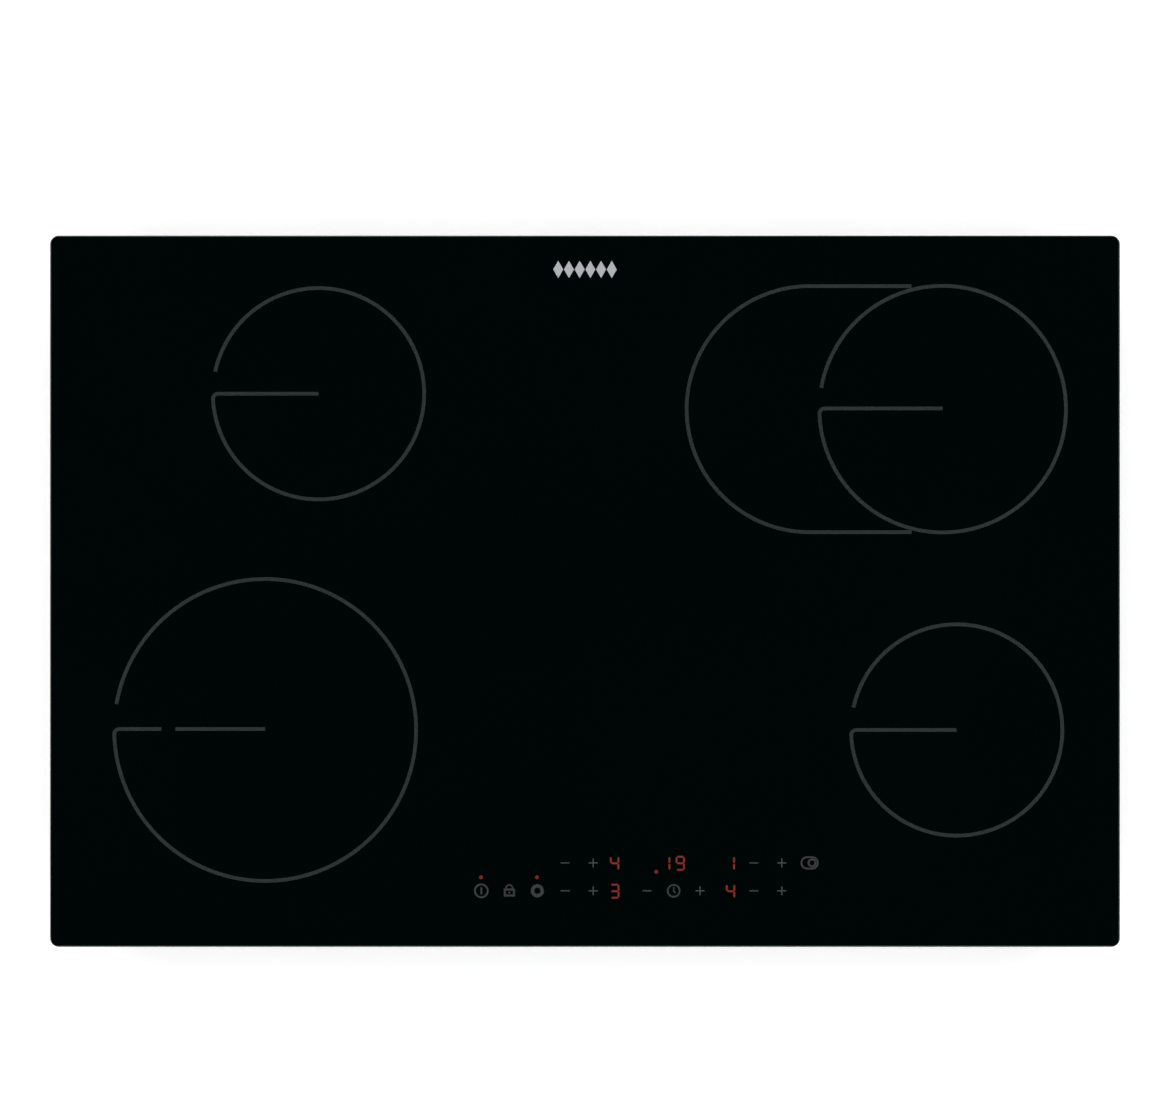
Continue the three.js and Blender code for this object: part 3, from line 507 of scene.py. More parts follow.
MATERIALS = {
    "glass": black_glass(),
    "foam_seal": foam(),
    "painted_steel": powder_coat(),
    "zinc_steel": zinc_steel(),
    "plain_steel": turned_steel(),
    "fibre": mineral_fibre(),
    "heating_alloy": heating_alloy(),
    "limiter_ceramic": glazed_steatite(),
    "circuit_board": circuit_board(),
    "display_face": smoked_window(),
    "iron_core": laminated_iron(),
    "inlet_rubber": rubber(),
    "brass": brass(),
    "wire_sleeve": braided_sleeve(),
    "ring_ink": enamel("grey_ring_print", (0.0187, 0.0245, 0.025)),
    "sign_ink": enamel("grey_key_print", (0.054, 0.057, 0.062)),
    "key_ink": enamel("dark_grey_key_print", (0.037, 0.04, 0.041)),
    "emblem_ink": enamel("silver_print", (0.42, 0.44, 0.465), spread=0.05),
    "digit_light": red_light("lit_segment", (0.22, 0.03, 0.022)),
    "lamp_light": red_light("lit_lamp", (0.185, 0.022, 0.021)),
}
# Each with the name of its material, a dark and a light tone, and its roughness.
PLASTICS = {
    "black_plastic": ("black_moulded_plastic", (0.012, 0.012, 0.013), (0.02, 0.02, 0.021), 0.55),
    "relay_case": ("blue_relay_case", (0.01, 0.035, 0.1), (0.016, 0.05, 0.14), 0.4),
    "terminal_plastic": ("cream_terminal_plastic", (0.6, 0.56, 0.45), (0.7, 0.66, 0.55), 0.4),
    "nylon": ("natural_nylon", (0.55, 0.53, 0.46), (0.66, 0.64, 0.57), 0.45),
    "capacitor": ("capacitor_sleeve", (0.012, 0.014, 0.03), (0.02, 0.022, 0.045), 0.35),
    "tape": ("winding_tape", (0.62, 0.42, 0.04), (0.74, 0.52, 0.07), 0.4),
    "quartz": ("quartz_tube", (0.5, 0.5, 0.48), (0.62, 0.62, 0.6), 0.2),
    "brown": ("brown_wire", (0.09, 0.035, 0.015), (0.12, 0.045, 0.02), 0.4),
    "black": ("black_wire", (0.01, 0.01, 0.01), (0.018, 0.018, 0.018), 0.4),
    "grey": ("grey_wire", (0.2, 0.2, 0.2), (0.26, 0.26, 0.26), 0.4),
    "blue": ("blue_wire", (0.01, 0.05, 0.3), (0.015, 0.07, 0.38), 0.4),
    "earth": ("earth_wire", (0.1, 0.3, 0.02), (0.45, 0.45, 0.02), 0.4),
}
for look, plastic in PLASTICS.items():
    MATERIALS[look] = moulded_plastic(*plastic)


def paint_cad_nodes():
    slots = {part["node"]: part["material_slot"] for part in frame["record"]["subparts"]}
    for name, node in frame["nodes"].items():
        node.data.materials.clear()
        node.data.materials.append(MATERIALS[slots[name]])


# ---------- print on the glass ----------
def ring_line(x, y, ring):
    """From the arc's free end round to the corner where the radial line starts."""
    inner = ring["radius"] - RING_CORNER
    corner_y = ring["shift"] - RING_CORNER
    corner_x = -math.sqrt(inner**2 - corner_y**2)
    join = math.degrees(math.atan2(corner_y, corner_x))
    line = arc((x, y), ring["radius"], ring["end"], join)
    corner = arc((x + corner_x, y + corner_y), RING_CORNER, join, -270, step=12)
    return line[:-1] + corner


def print_rings():
    for name, ring in RINGS.items():
        x, y = ZONES[name]
        height = y + ring["shift"]
        shape = printed()
        inner, outer = ring.get("break", (0, 0))
        shape.stroke(ring_line(x, y, ring) + [(x - outer, height)], LINE_WIDTH)
        if inner:
            shape.stroke([(x - inner, height), (x, height)], LINE_WIDTH)
        shape.make("zone_mark_" + name, "ring_ink")


def print_oval():
    x, y = OVAL["centre"]
    radius = OVAL["radius"]
    shape = printed()
    end = OVAL["line_end"]
    shape.stroke([(end, y + radius)] + arc((x, y), radius, 90, 270) + [(end, y - radius)], LINE_WIDTH)
    shape.make("zone_mark_oval_extension", "ring_ink")


def print_signs():
    for i, (x, y) in enumerate(places(MINUS_KEYS), 1):
        shape = printed()
        left, right = around(x, SIGN_HALF)
        shape.stroke([(left, y), (right, y)], MINUS_WIDTH)
        shape.make("key_minus_%d" % i, "key_ink")
    arm, half = SIGN_HALF, PLUS_WIDTH / 2
    corners = [(arm, -half), (arm, half), (half, half)]
    cross = []
    for _ in range(4):
        cross += corners
        corners = [(-py, px) for px, py in corners]
    for i, (x, y) in enumerate(places(PLUS_KEYS), 1):
        shape = printed()
        shape.area([(x + px, y + py) for px, py in cross])
        shape.make("key_plus_%d" % i, "sign_ink")


# Each symbol about its key's centre: strokes are (line, width, closed), discs are (centre, radius).
KEY_SYMBOLS = {
    "key_power": {
        "at": (-74.6, LOWER_ROW),
        "strokes": [(circle((0, 0), 4.6), 1.25, True), ([(0, -2.5), (0, 2.5)], 1.2, False)],
    },
    "key_lock": {
        "at": (-54.4, LOWER_ROW),
        "strokes": [
            ([(-3.3, -3.4), (3.3, -3.4), (3.3, 0.9), (-3.3, 0.9)], 1.4, True),
            ([(2.3, 1.46)] + arc((0, 2.0), 2.3, 0, 180, step=15) + [(-2.3, 1.46)], 1.0, False),
        ],
        "discs": [((0, -1.2), 0.75)],
    },
    "key_second_ring": {"at": (-34.3, LOWER_ROW), "strokes": [(circle((0, 0), 3.5), 2.4, True)]},
    "key_timer": {
        "at": (63.8, LOWER_ROW),
        "strokes": [(circle((0, 0), 4.3), 1.1, True), ([(0, 2.7), (0, -0.2), (1.4, -1.4)], 0.8, False)],
    },
    "key_oval_zone": {
        "at": (161.6, UPPER_ROW),
        "strokes": [
            (arc((1.8, 0), 4.1, -90, 90, step=10) + arc((-1.8, 0), 4.1, 90, 270, step=10), 1.2, True),
            (circle((1.75, 0), 2.5), 1.4, True),
        ],
    },
}


def print_symbols():
    for name, symbol in KEY_SYMBOLS.items():
        x, y = symbol["at"]
        shape = printed()
        for line, width, closed in symbol["strokes"]:
            shape.stroke([(x + px, y + py) for px, py in line], width, closed)
        for (px, py), radius in symbol.get("discs", ()):
            shape.disc((x + px, y + py), radius)
        shape.make(name, "key_ink")


def print_emblem():
    """A plain row of lozenges."""
    x, y = EMBLEM["centre"]
    half_width, half_height = EMBLEM["half_width"], EMBLEM["half_height"]
    shape = printed()
    for i in range(EMBLEM["count"]):
        at = x + (i - (EMBLEM["count"] - 1) / 2) * EMBLEM["pitch"]
        left, right = around(at, half_width)
        shape.area([(left, y), (at, y - half_height), (right, y), (at, y + half_height)])
    shape.make("rear_edge_mark", "emblem_ink")


# ---------- lit digits and lamps ----------
# Named a to g as usual: clockwise from the top one, with g in the middle.
SEGMENTS = {
    "a": ((-1, 1), (1, 1)),
    "g": ((-1, 0), (1, 0)),
    "d": ((-1, -1), (1, -1)),
    "f": ((-1, 0), (-1, 1)),
    "b": ((1, 0), (1, 1)),
    "e": ((-1, -1), (-1, 0)),
    "c": ((1, -1), (1, 0)),
}
SHOWN = {"1": "bc", "3": "agdbc", "4": "fbgc", "9": "agdfbc"}


def segment_outline(start, end):
    """A bar with pointed ends, like the cells of a seven-segment display."""
    way = direction(start, end)
    half = SEGMENT_WIDTH / 2
    near = SEGMENT_GAP
    far = math.dist(start, end) - SEGMENT_GAP
    bar = [(near, 0), (near + half, -half), (far - half, -half)]
    bar += [(far, 0), (far - half, half), (near + half, half)]
    (x, y), (along, across) = start, way
    return [(x + along * a - across * b, y + across * a + along * b) for a, b in bar]


def draw_bars(shape, x, y, names):
    for name in names:
        ends = [(x + px * DIGIT_HALF_WIDTH, y + py * DIGIT_HALF_HEIGHT) for px, py in SEGMENTS[name]]
        shape.area(segment_outline(*ends))


def light_digits():
    """The bars that are lit, seen through the glass, and all seven bars of the module below it."""
    for name, figure, x, row in DIGITS:
        y = row - DIGIT_DROP
        shown = lit()
        draw_bars(shown, x, y, SHOWN[figure])
        shown.make(name, "digit_light")
        module = FlatShape(UNDER_GLASS - BAR_ROOT, BAR_ROOT + BAR_HEIGHT)
        draw_bars(module, x, y, SEGMENTS)
        module.make(name + "_bars", "quartz")


def light_lamps():
    for i, centre in enumerate(LAMPS, 1):
        shape = lit()
        shape.disc(centre, LAMP_RADIUS)
        shape.make("lamp_%d" % i, "lamp_light")


# ---------- finer pieces in place of CAD bodies ----------
def skin(count, sides):
    """The faces over a row of rings of points, with a cap at each end."""
    faces = []
    for ring in range(count - 1):
        for i in range(sides):
            j = (i + 1) % sides
            low, high = ring * sides, (ring + 1) * sides
            faces.append([low + i, low + j, high + j, high + i])
    faces.append(list(reversed(range(sides))))
    faces.append([(count - 1) * sides + i for i in range(sides)])
    return faces


def turned(profile, centre, sides=24):
    """A profile of (radius, height) pairs turned about a vertical axis."""
    vertices = []
    for radius, height in profile:
        for i in range(sides):
            vertices.append((*polar(centre, radius, 2 * math.pi * i / sides), height))
    return vertices, skin(len(profile), sides)


def frames_along(path):
    """Each point of a path with two directions across it, which turn only as the path does."""
    points = [Vector(p) for p in path]
    across = None
    for i, point in enumerate(points):
        ahead = points[min(i + 1, len(points) - 1)] - points[max(i - 1, 0)]
        ahead.normalize()
        if across is None:
            across = ahead.orthogonal().normalized()
        across = (across - ahead * across.dot(ahead)).normalized()
        yield point, across, ahead.cross(across)


def beside(place, radius, angle):
    """A point about a place on a path, square to the path."""
    point, across, up = place
    return point + (across * math.cos(angle) + up * math.sin(angle)) * radius


def tube(path, radius, sides=8):
    """A closed round tube along a path of points."""
    angles = [2 * math.pi * k / sides for k in range(sides)]
    vertices = [beside(here, radius, angle) for here in frames_along(path) for angle in angles]
    return vertices, skin(len(path), sides)


def block(x, y, z):
    vertices = [(a, b, c) for c in z for a, b in ((x[0], y[0]), (x[1], y[0]), (x[1], y[1]), (x[0], y[1]))]
    faces = [[3, 2, 1, 0], [4, 5, 6, 7], [0, 1, 5, 4], [1, 2, 6, 5], [2, 3, 7, 6], [3, 0, 4, 7]]
    return vertices, faces


def merged(shapes):
    """Several (vertices, faces) shapes as one."""
    vertices = []
    faces = []
    for shape_vertices, shape_faces in shapes:
        base = len(vertices)
        vertices += shape_vertices
        faces += [[base + i for i in face] for face in shape_faces]
    return vertices, faces


def add_piece(name, shape, look, stands_for=None, body="hob", edge=0.0):
    """A piece of the looks, with its edges rounded where an edge is given."""
    made = make_object(name, *shape, look, body, smooth=True)
    soften(made, edge)
    if stands_for:
        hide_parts(stands_for)


BEVEL_SEGMENTS = 2
BEVEL_ANGLE = 35  # degrees, so that the facets of round pieces stay smooth
WELD_DISTANCE = 0.002


def soften(made, edge):
    if edge:
        bevel = made.modifiers.new("rounded_edges", "BEVEL")
        bevel.width = edge * MM
        bevel.segments = BEVEL_SEGMENTS
        bevel.limit_method = "ANGLE"
        bevel.angle_limit = math.radians(BEVEL_ANGLE)
    made.modifiers.new("even_normals", "WEIGHTED_NORMAL")


def helix(centre, radius, low, high, pitch, steps_per_turn=16):
    count = max(round((high - low) / pitch * steps_per_turn), 2)
    points = []
    for i in range(count + 1):
        height = low + (high - low) * i / count
        points.append((*polar(centre, radius, 2 * math.pi * i / steps_per_turn), height))
    return points


def smooth_path(points, steps):
    """A Catmull-Rom curve through the points."""
    ends = [Vector(points[0])] + [Vector(p) for p in points] + [Vector(points[-1])]
    path = []
    for i in range(len(points) - 1):
        a, b, c, d = ends[i : i + 4]
        for k in range(steps):
            t = k / steps
            bend = (2 * a - 5 * b + 4 * c - d) * t**2
            twist = (3 * b - a - 3 * c + d) * t**3
            path.append(0.5 * (2 * b + (c - a) * t + bend + twist))
    path.append(ends[-1])
    return path


def bundle(path, count, spread, twist):
    """Paths of several wires lying round one another along a path."""
    wires = [[] for _ in range(count)]
    for i, here in enumerate(frames_along(path)):
        for k, wire in enumerate(wires):
            wire.append(beside(here, spread, 2 * math.pi * (k / count + twist * i / len(path))))
    return wires


# ---------- heating elements ----------
COIL = {"bottom": 22.6, "top": 28.2, "start": 14, "pitch": 13, "margin": 4.5}
RIBBON = {"thickness": 0.3, "swing": 1.5, "wave": 4.2, "samples": 6}
SPIRAL_STEPS = 90  # in each turn
CRESCENT_STEPS = 48  # in each arc
REACH_STEP = 0.02  # radians
WELL_MARGIN = 15.6  # from a dish's outside to the outermost turn
FIBRE_WALL = 10
HEATERS = {
    "rear_left": {"radius": 82.5},
    "front_left": {"radius": 115, "divider": 60},
    "rear_right": {"radius": 95, "divider": 80, "stretch": 95.7},
    "front_right": {"radius": 82.5},
}
DIVIDER_WALL = 4.5


def spiral(centre, start, end):
    turns = max(round((end - start) / COIL["pitch"]), 1)
    steps = turns * SPIRAL_STEPS
    line = []
    for i in range(steps + 1):
        radius = start + (end - start) * i / steps
        line.append(polar(centre, radius, 2 * math.pi * turns * i / steps))
    return line


def crescent(centre, heater, start, end):
    """Arcs to and fro between the round circuit and the stretched end, joined by radial steps."""
    inside = heater["radius"] - FIBRE_WALL - 2 * COIL["margin"]
    line = []
    for i in range(int((end - start) / COIL["pitch"])):
        radius = start + i * COIL["pitch"]
        first = crescent_reach(heater["stretch"], radius, inside)
        last = crescent_reach(heater["stretch"], radius + COIL["pitch"], inside)
        way = -1 if i % 2 else 1
        for step in range(CRESCENT_STEPS + 1):
            angle = math.pi + way * ((first + last) * step / CRESCENT_STEPS - first)
            line.append(polar(centre, radius, angle))
    return line


def crescent_reach(stretch, radius, inside):
    """How far an arc about the zone's centre can swing from straight left inside the well."""
    reach = 0.0
    for step in range(int(math.pi / 2 / REACH_STEP) + 1):
        angle = REACH_STEP * step
        beyond = max(radius * math.cos(angle) - stretch, 0)
        if math.hypot(beyond, radius * math.sin(angle)) > inside:
            break
        reach = angle
    return reach


def evenly(line, spacing):
    """Points and directions at even steps along a line."""
    marks = []
    left = 0.0
    for a, b in zip(line, line[1:]):
        length = math.dist(a, b)
        if length == 0:
            continue
        way = direction(a, b)
        while left <= length:
            marks.append(((a[0] + way[0] * left, a[1] + way[1] * left), way))
            left += spacing
        left -= length
    return marks


def ribbon(line):
    """A corrugated strip standing on its edge along a line."""
    wavy = []
    for i, ((x, y), way) in enumerate(evenly(line, RIBBON["wave"] / RIBBON["samples"])):
        sway = RIBBON["swing"] * math.sin(2 * math.pi * i / RIBBON["samples"])
        wavy.append((x - way[1] * sway, y + way[0] * sway))
    shape = FlatShape(COIL["bottom"], COIL["top"] - COIL["bottom"])
    shape.stroke(wavy, RIBBON["thickness"])
    return shape.vertices, shape.faces


def lay_elements():
    for name, heater in HEATERS.items():
        node = "heater_element_" + name
        centre = ZONES[name]
        outermost = heater["radius"] - WELL_MARGIN
        if "divider" not in heater:
            lines = {node: spiral(centre, COIL["start"], outermost)}
        else:
            inner_end = heater["divider"] - COIL["margin"]
            outer_start = heater["divider"] + DIVIDER_WALL + COIL["margin"]
            if "stretch" in heater:
                outer = crescent(centre, heater, outer_start, heater["stretch"] + outermost)
            else:
                outer = spiral(centre, outer_start, outermost)
            inner = spiral(centre, COIL["start"], inner_end)
            lines = {node + "_inner": inner, node + "_outer": outer}
        for circuit, line in lines.items():
            add_piece(circuit + "_ribbon", ribbon(line), "heating_alloy", circuit)


LIMITER = {
    "length": 25,
    "half_width": 10,
    "z": (25, 35.8),
    "lid_z": (35.6, 37),
    "lid_inset": 1,
    "rod_z": 33,
    "rod": 2.0,
    "rod_root": 1,  # inside the head
    "tip": 24,  # from the dish's outside to the rod's tip on the far side
}
BLADE = {"half_width": 3, "half_thickness": 0.4, "z": (19, 25.5), "offsets": (-5, 5)}


def make_limiters():
    """A ceramic switch head with steel blades, and the quartz rod that reaches in over the element."""
    for name, heater in HEATERS.items():
        x, y = ZONES[name]
        side = 1 if x < 0 else -1
        near = heater["radius"] + GAP + heater.get("stretch", 0)
        tip = LIMITER["tip"] - heater["radius"]
        node = "heater_limiter_" + name
        head_x = sorted((x + side * near, x + side * (near + LIMITER["length"])))
        head_y = around(y, LIMITER["half_width"])
        head = block(head_x, head_y, LIMITER["z"])
        margin = LIMITER["lid_inset"]
        lid = block(inset(head_x, margin), inset(head_y, margin), LIMITER["lid_z"])
        look = "limiter_ceramic"
        add_piece(node + "_head", merged([head, lid]), look, node, edge=0.6)
        rod_path = [(x + side * end, y, LIMITER["rod_z"]) for end in (tip, near + LIMITER["rod_root"])]
        add_piece(node + "_rod", tube(rod_path, LIMITER["rod"], sides=16), "quartz", node)
        span_x = around(sum(head_x) / 2, BLADE["half_width"])
        blades = [
            block(span_x, around(y + offset, BLADE["half_thickness"]), BLADE["z"])
            for offset in BLADE["offsets"]
        ]
        add_piece(node + "_blades", merged(blades), "plain_steel", node, edge=0.15)


# ---------- electronics ----------
POWER_BOARD = {"x": (-75, 30), "y": (-120, 125), "z": (7, 8.6)}
SURFACE = POWER_BOARD["z"][1]
# Each across x and y, with the height of its rim and the number of its pins.
CONNECTORS = [
    ((-74, -66), (-30, 30), 16.6, 9),
    ((21, 29), (55, 95), 16.6, 6),
    ((-30, 10), (115, 124), 20.6, 5),
    ((-12, 14), (-119, -113), 14.6, 8),
]
CONNECTOR_WALL = 1.0
CONNECTOR_FLOOR = 2
PIN = {"half": 0.5, "foot": 1, "below_rim": 1.5}
CAPACITORS = [(-45, 20, 6, 28.6), (-45, -10, 4, 22.6), (-45, -24, 4, 22.6)]  # x, y, radius and top
# Each at x and y, with its length and width.
CHIPS = [(-20, 95, 9, 6), (-50, -60, 14, 10), (-50, -95, 8, 5), (-10, 105, 6, 4), (-20, -100, 10, 5)]
CHIP = {"foot": 0.3, "height": 2}
CHIP_LEG = {"count": 5, "half": 0.3, "length": 1.2, "height": 0.8}
# Profiles of a capacitor: the inset from its radius, and the height above the board or from its top.
CAN_FOOT = [(0, 0), (0, 1.5), (0.4, 2.2), (0, 3)]
CAN_RIM = [(0, -0.6), (0.5, 0), (1.2, 0)]
CAN_LID = [(1.1, -0.5), (1.1, -0.15), (1.5, 0.05)]
TOUCH_BOARD = {"x": (-94.6, 189.6), "y": (-226.1, -183.4), "z": (30, 31.6)}
TOUCH_KEYS = {
    UPPER_ROW: [-14.3, 5.9, 121.4, 141.6, 162.3],
    LOWER_ROW: [-74.6, -54.4, -34.3, -14.3, 5.9, 44.6, 63.8, 82.8, 121.5, 141.6],
}
TOUCH_SPRING = {"radius": 3.4, "wire": 0.3, "pitch": 1.25, "pad": 4.2, "pad_height": 0.9, "rounding": 0.2}


def make_board(name, board):
    plate = block(board["x"], board["y"], board["z"])
    add_piece(name + "_plate", plate, "circuit_board", name, edge=0.2)


def make_connector(name, x, y, top, count):
    """An open-topped nylon shell with a row of pins."""
    (x0, x1), (y0, y1) = x, y
    wall = CONNECTOR_WALL
    walls = [(x, (y0, y0 + wall)), (x, (y1 - wall, y1)), ((x0, x0 + wall), y), ((x1 - wall, x1), y)]
    shell = [block(x, y, (SURFACE, SURFACE + CONNECTOR_FLOOR))]
    shell += [block(*span, (SURFACE, top)) for span in walls]
    add_piece(name, merged(shell), "nylon", "power_board", edge=0.15)
    long_x = x1 - x0 > y1 - y0
    pin_z = (SURFACE + PIN["foot"], top - PIN["below_rim"])
    pins = []
    for k in range(count):
        share = (k + 0.5) / count
        pin_x = x0 + (x1 - x0) * (share if long_x else 0.5)
        pin_y = y0 + (y1 - y0) * (0.5 if long_x else share)
        pins.append(block(around(pin_x, PIN["half"]), around(pin_y, PIN["half"]), pin_z))
    add_piece(name + "_pins", merged(pins), "brass", "power_board")


def make_capacitor(name, x, y, radius, top):
    """A sleeved can, waisted near its foot, with a metal lid."""
    sleeve = [(radius - inward, SURFACE + up) for inward, up in CAN_FOOT]
    sleeve += [(radius - inward, top + up) for inward, up in CAN_RIM]
    add_piece(name, turned(sleeve, (x, y)), "capacitor", "power_board")
    lid = [(radius - inward, top + up) for inward, up in CAN_LID]
    add_piece(name + "_lid", turned(lid, (x, y)), "plain_steel", "power_board")


def make_chips():
    """Flat packages with legs along both long sides."""
    chips = []
    legs = []
    chip_z = (SURFACE + CHIP["foot"], SURFACE + CHIP["height"])
    leg_z = (SURFACE, SURFACE + CHIP_LEG["height"])
    for x, y, length, width in CHIPS:
        chips.append(block(around(x, length / 2), around(y, width / 2), chip_z))
        for k in range(CHIP_LEG["count"]):
            leg = x + length * (k - CHIP_LEG["count"] // 2) / CHIP_LEG["count"]
            for way in (-1, 1):
                edge = y + way * width / 2
                span = sorted((edge, edge + way * CHIP_LEG["length"]))
                legs.append(block(around(leg, CHIP_LEG["half"]), span, leg_z))
    add_piece("power_board_chips", merged(chips), "black_plastic", "power_board", edge=0.15)
    add_piece("power_board_chip_legs", merged(legs), "plain_steel", "power_board")


def make_power_board():
    make_board("power_board", POWER_BOARD)
    for i, connector in enumerate(CONNECTORS, 1):
        make_connector("power_board_connector_%d" % i, *connector)
    for i, capacitor in enumerate(CAPACITORS, 1):
        make_capacitor("power_board_capacitor_%d" % i, *capacitor)
    make_chips()


def make_touch_board():
    """The board, with a coiled sensor spring and its pad under each key."""
    make_board("touch_board", TOUCH_BOARD)
    foot = TOUCH_BOARD["z"][1] + GAP
    pad_bottom = UNDER_GLASS - TOUCH_SPRING["pad_height"]
    radius, rounding = TOUCH_SPRING["pad"], TOUCH_SPRING["rounding"]
    pad = [(radius, pad_bottom), (radius, UNDER_GLASS - rounding), (radius - rounding, UNDER_GLASS)]
    for i, centre in enumerate(places(TOUCH_KEYS), 1):
        coil = helix(centre, TOUCH_SPRING["radius"], foot, pad_bottom, TOUCH_SPRING["pitch"])
        spring = merged([tube(coil, TOUCH_SPRING["wire"], sides=6), turned(pad, centre)])
        add_piece("touch_spring_%d" % i, spring, "plain_steel", "touch_board")


TRANSFORMER = {"x": (-60, -16), "y": (51, 89), "z": (8.9, 35.9), "core_inset_y": 9.5}
WINDING = {"inset_x": 7, "foot": 0.5, "below_top": 6}
BOBBIN = {"inset_x": 6, "inset_y": 8.5, "height": 2}


def make_transformer():
    x, y, z = TRANSFORMER["x"], TRANSFORMER["y"], TRANSFORMER["z"]
    node = "transformer"
    core = block(x, inset(y, TRANSFORMER["core_inset_y"]), z)
    add_piece("transformer_core", core, "iron_core", node, edge=0.4)
    winding = block(inset(x, WINDING["inset_x"]), y, (z[0] + WINDING["foot"], z[1] - WINDING["below_top"]))
    add_piece("transformer_winding", winding, "tape", node, edge=3.0)
    span = inset(x, BOBBIN["inset_x"]), inset(y, BOBBIN["inset_y"])
    bobbin = block(*span, (z[0], z[0] + BOBBIN["height"]))
    add_piece("transformer_bobbin", bobbin, "black_plastic", node, edge=0.3)


RELAYS = {"x": 12, "y": [-80, -30, 20], "half_x": 13, "half_y": 15}
RELAY_FOOT = {"margin": 0.3, "z": (8.65, 11)}
RELAY_PANEL = {"margin": -4, "z": (32.4, 33.25)}
VENT_NUB = {"offset": (11, 13), "profile": [(1.2, 32.5), (1.2, 33.6), (0.8, 33.8)]}


def relay_slab(y, size):
    """A slab as wide as a relay and a margin more, or less."""
    half_x = RELAYS["half_x"] + size["margin"]
    half_y = RELAYS["half_y"] + size["margin"]
    return block(around(RELAYS["x"], half_x), around(y, half_y), size["z"])


def dress_relays():
    """A dark foot, a raised panel on the lid and a vent nub for each relay."""
    for i, y in enumerate(RELAYS["y"], 1):
        name = "relay_%d_" % i
        add_piece(name + "foot", relay_slab(y, RELAY_FOOT), "black_plastic", edge=0.15)
        add_piece(name + "panel", relay_slab(y, RELAY_PANEL), "relay_case", edge=0.2)
        centre = (RELAYS["x"] + VENT_NUB["offset"][0], y + VENT_NUB["offset"][1])
        add_piece(name + "vent_nub", turned(VENT_NUB["profile"], centre, sides=16), "relay_case")


# ---------- wiring ----------
MAINS_PATH = [(20, 174, 13), (20, 164, 14), (13, 150, 14), (-4, 140, 14), (-8, 133, 14), (-8, 126, 14)]
LEFT_PATH = [
    (-96, 131, 29),
    (-96, 122, 28),
    (-91, 85, 14),
    (-88, 0, 13),
    (-92, -60, 16),
    (-100, -82, 28),
    (-100, -89, 29),
]
LEFT_BRANCH = [(-88, 0, 13), (-81, 0, 13), (-74.4, 0, 13)]
RIGHT_PATH = [
    (52, 120, 29),
    (52, 112, 28),
    (48, 75, 13),
    (52, 0, 13),
    (96, -80, 16),
    (145, -99.8, 28),
    (158, -99.8, 29),
]
RIGHT_BRANCH = [(48, 75, 13), (38, 75, 13), (29.4, 75, 13)]
MAINS_WIRE = 1.25  # the radius of each wire
HEATER_WIRE = 1.2
BRANCH_WIRE = 1.1
WIRE_SIDES = 10


def run_wires():
    """Each harness as separate insulated wires."""
    mains = bundle(smooth_path(MAINS_PATH, steps=10), count=5, spread=2.2, twist=0.3)
    for look, path in zip(("brown", "black", "grey", "blue", "earth"), mains):
        add_piece("mains_wire_" + look, tube(path, MAINS_WIRE, WIRE_SIDES), look, "mains_wiring")
    harnesses = (("left", LEFT_PATH, LEFT_BRANCH), ("right", RIGHT_PATH, RIGHT_BRANCH))
    look = "wire_sleeve"
    for side, path, branch in harnesses:
        node = "heater_wiring_" + side
        wires = bundle(smooth_path(path, steps=14), count=4, spread=1.65, twist=2.0)
        for i, wire in enumerate(wires, 1):
            name = "heater_wire_%s_%d" % (side, i)
            add_piece(name, tube(wire, HEATER_WIRE, WIRE_SIDES), look, node)
        wires = bundle(smooth_path(branch, steps=4), count=3, spread=1.4, twist=0.2)
        for i, wire in enumerate(wires, 1):
            name = "heater_wire_%s_branch_%d" % (side, i)
            add_piece(name, tube(wire, BRANCH_WIRE, WIRE_SIDES), look, node)


# ---------- screws ----------
CLAMP_PLACES = {
    "front_left": (-345, -228),
    "front_right": (345, -228),
    "rear_left": (-345, 228),
    "rear_right": (345, 228),
}
THREAD = {"core": 1.97, "crest": 0.19, "pitch": 0.7, "z": (12.1, 25.2), "steps": 24}


def cut_threads():
    """A helical ridge wound on the plain shank of each clamp screw."""
    low, high = THREAD["z"]
    for corner, centre in CLAMP_PLACES.items():
        ridge = helix(centre, THREAD["core"], low, high, THREAD["pitch"], THREAD["steps"])
        shape = tube(ridge, THREAD["crest"], sides=4)
        body = "clamp_screw_" + corner
        add_piece("clamp_thread_" + corner, shape, "plain_steel", body=body)


TERMINALS = {"x": [-27.5, -16.5, -5.5, 5.5, 16.5, 27.5], "y": 183}
TERMINAL_HEAD = [(2.3, 18.2), (2.6, 18.5), (2.6, 20.2), (1.6, 20.8)]
# A dark bar on each screw head: painted shade where the slot would be, since no slot is cut.
TERMINAL_SLOT_SHADE = {"half_x": 2.2, "half_y": 0.35, "z": (18.12, 18.3)}


def fit_terminal_screws():
    """A brass screw in each well of the terminal block, head down like the wells; its slot is not cut, and
    a black bar on the head is painted shade in its place.
    """
    y = TERMINALS["y"]
    screws = []
    slots = []
    for x in TERMINALS["x"]:
        screws.append(turned(TERMINAL_HEAD, (x, y)))
        span = around(x, TERMINAL_SLOT_SHADE["half_x"]), around(y, TERMINAL_SLOT_SHADE["half_y"])
        slots.append(block(*span, TERMINAL_SLOT_SHADE["z"]))
    add_piece("terminal_screws", merged(screws), "brass")
    # The black bars are painted shade of the slots, not cut recesses.
    add_piece("terminal_screw_slot_shade", merged(slots), "black_plastic")


COVER_BORDER = {"x": (-44, 44), "y": (182, 221), "width": 1.2}
COVER_GRIPS = {"half_length": 14, "width": 1.0, "count": 7, "pitch": 2.4, "last": 217}
COVER_MOULDING = {"bottom": 0.02, "height": 0.25}


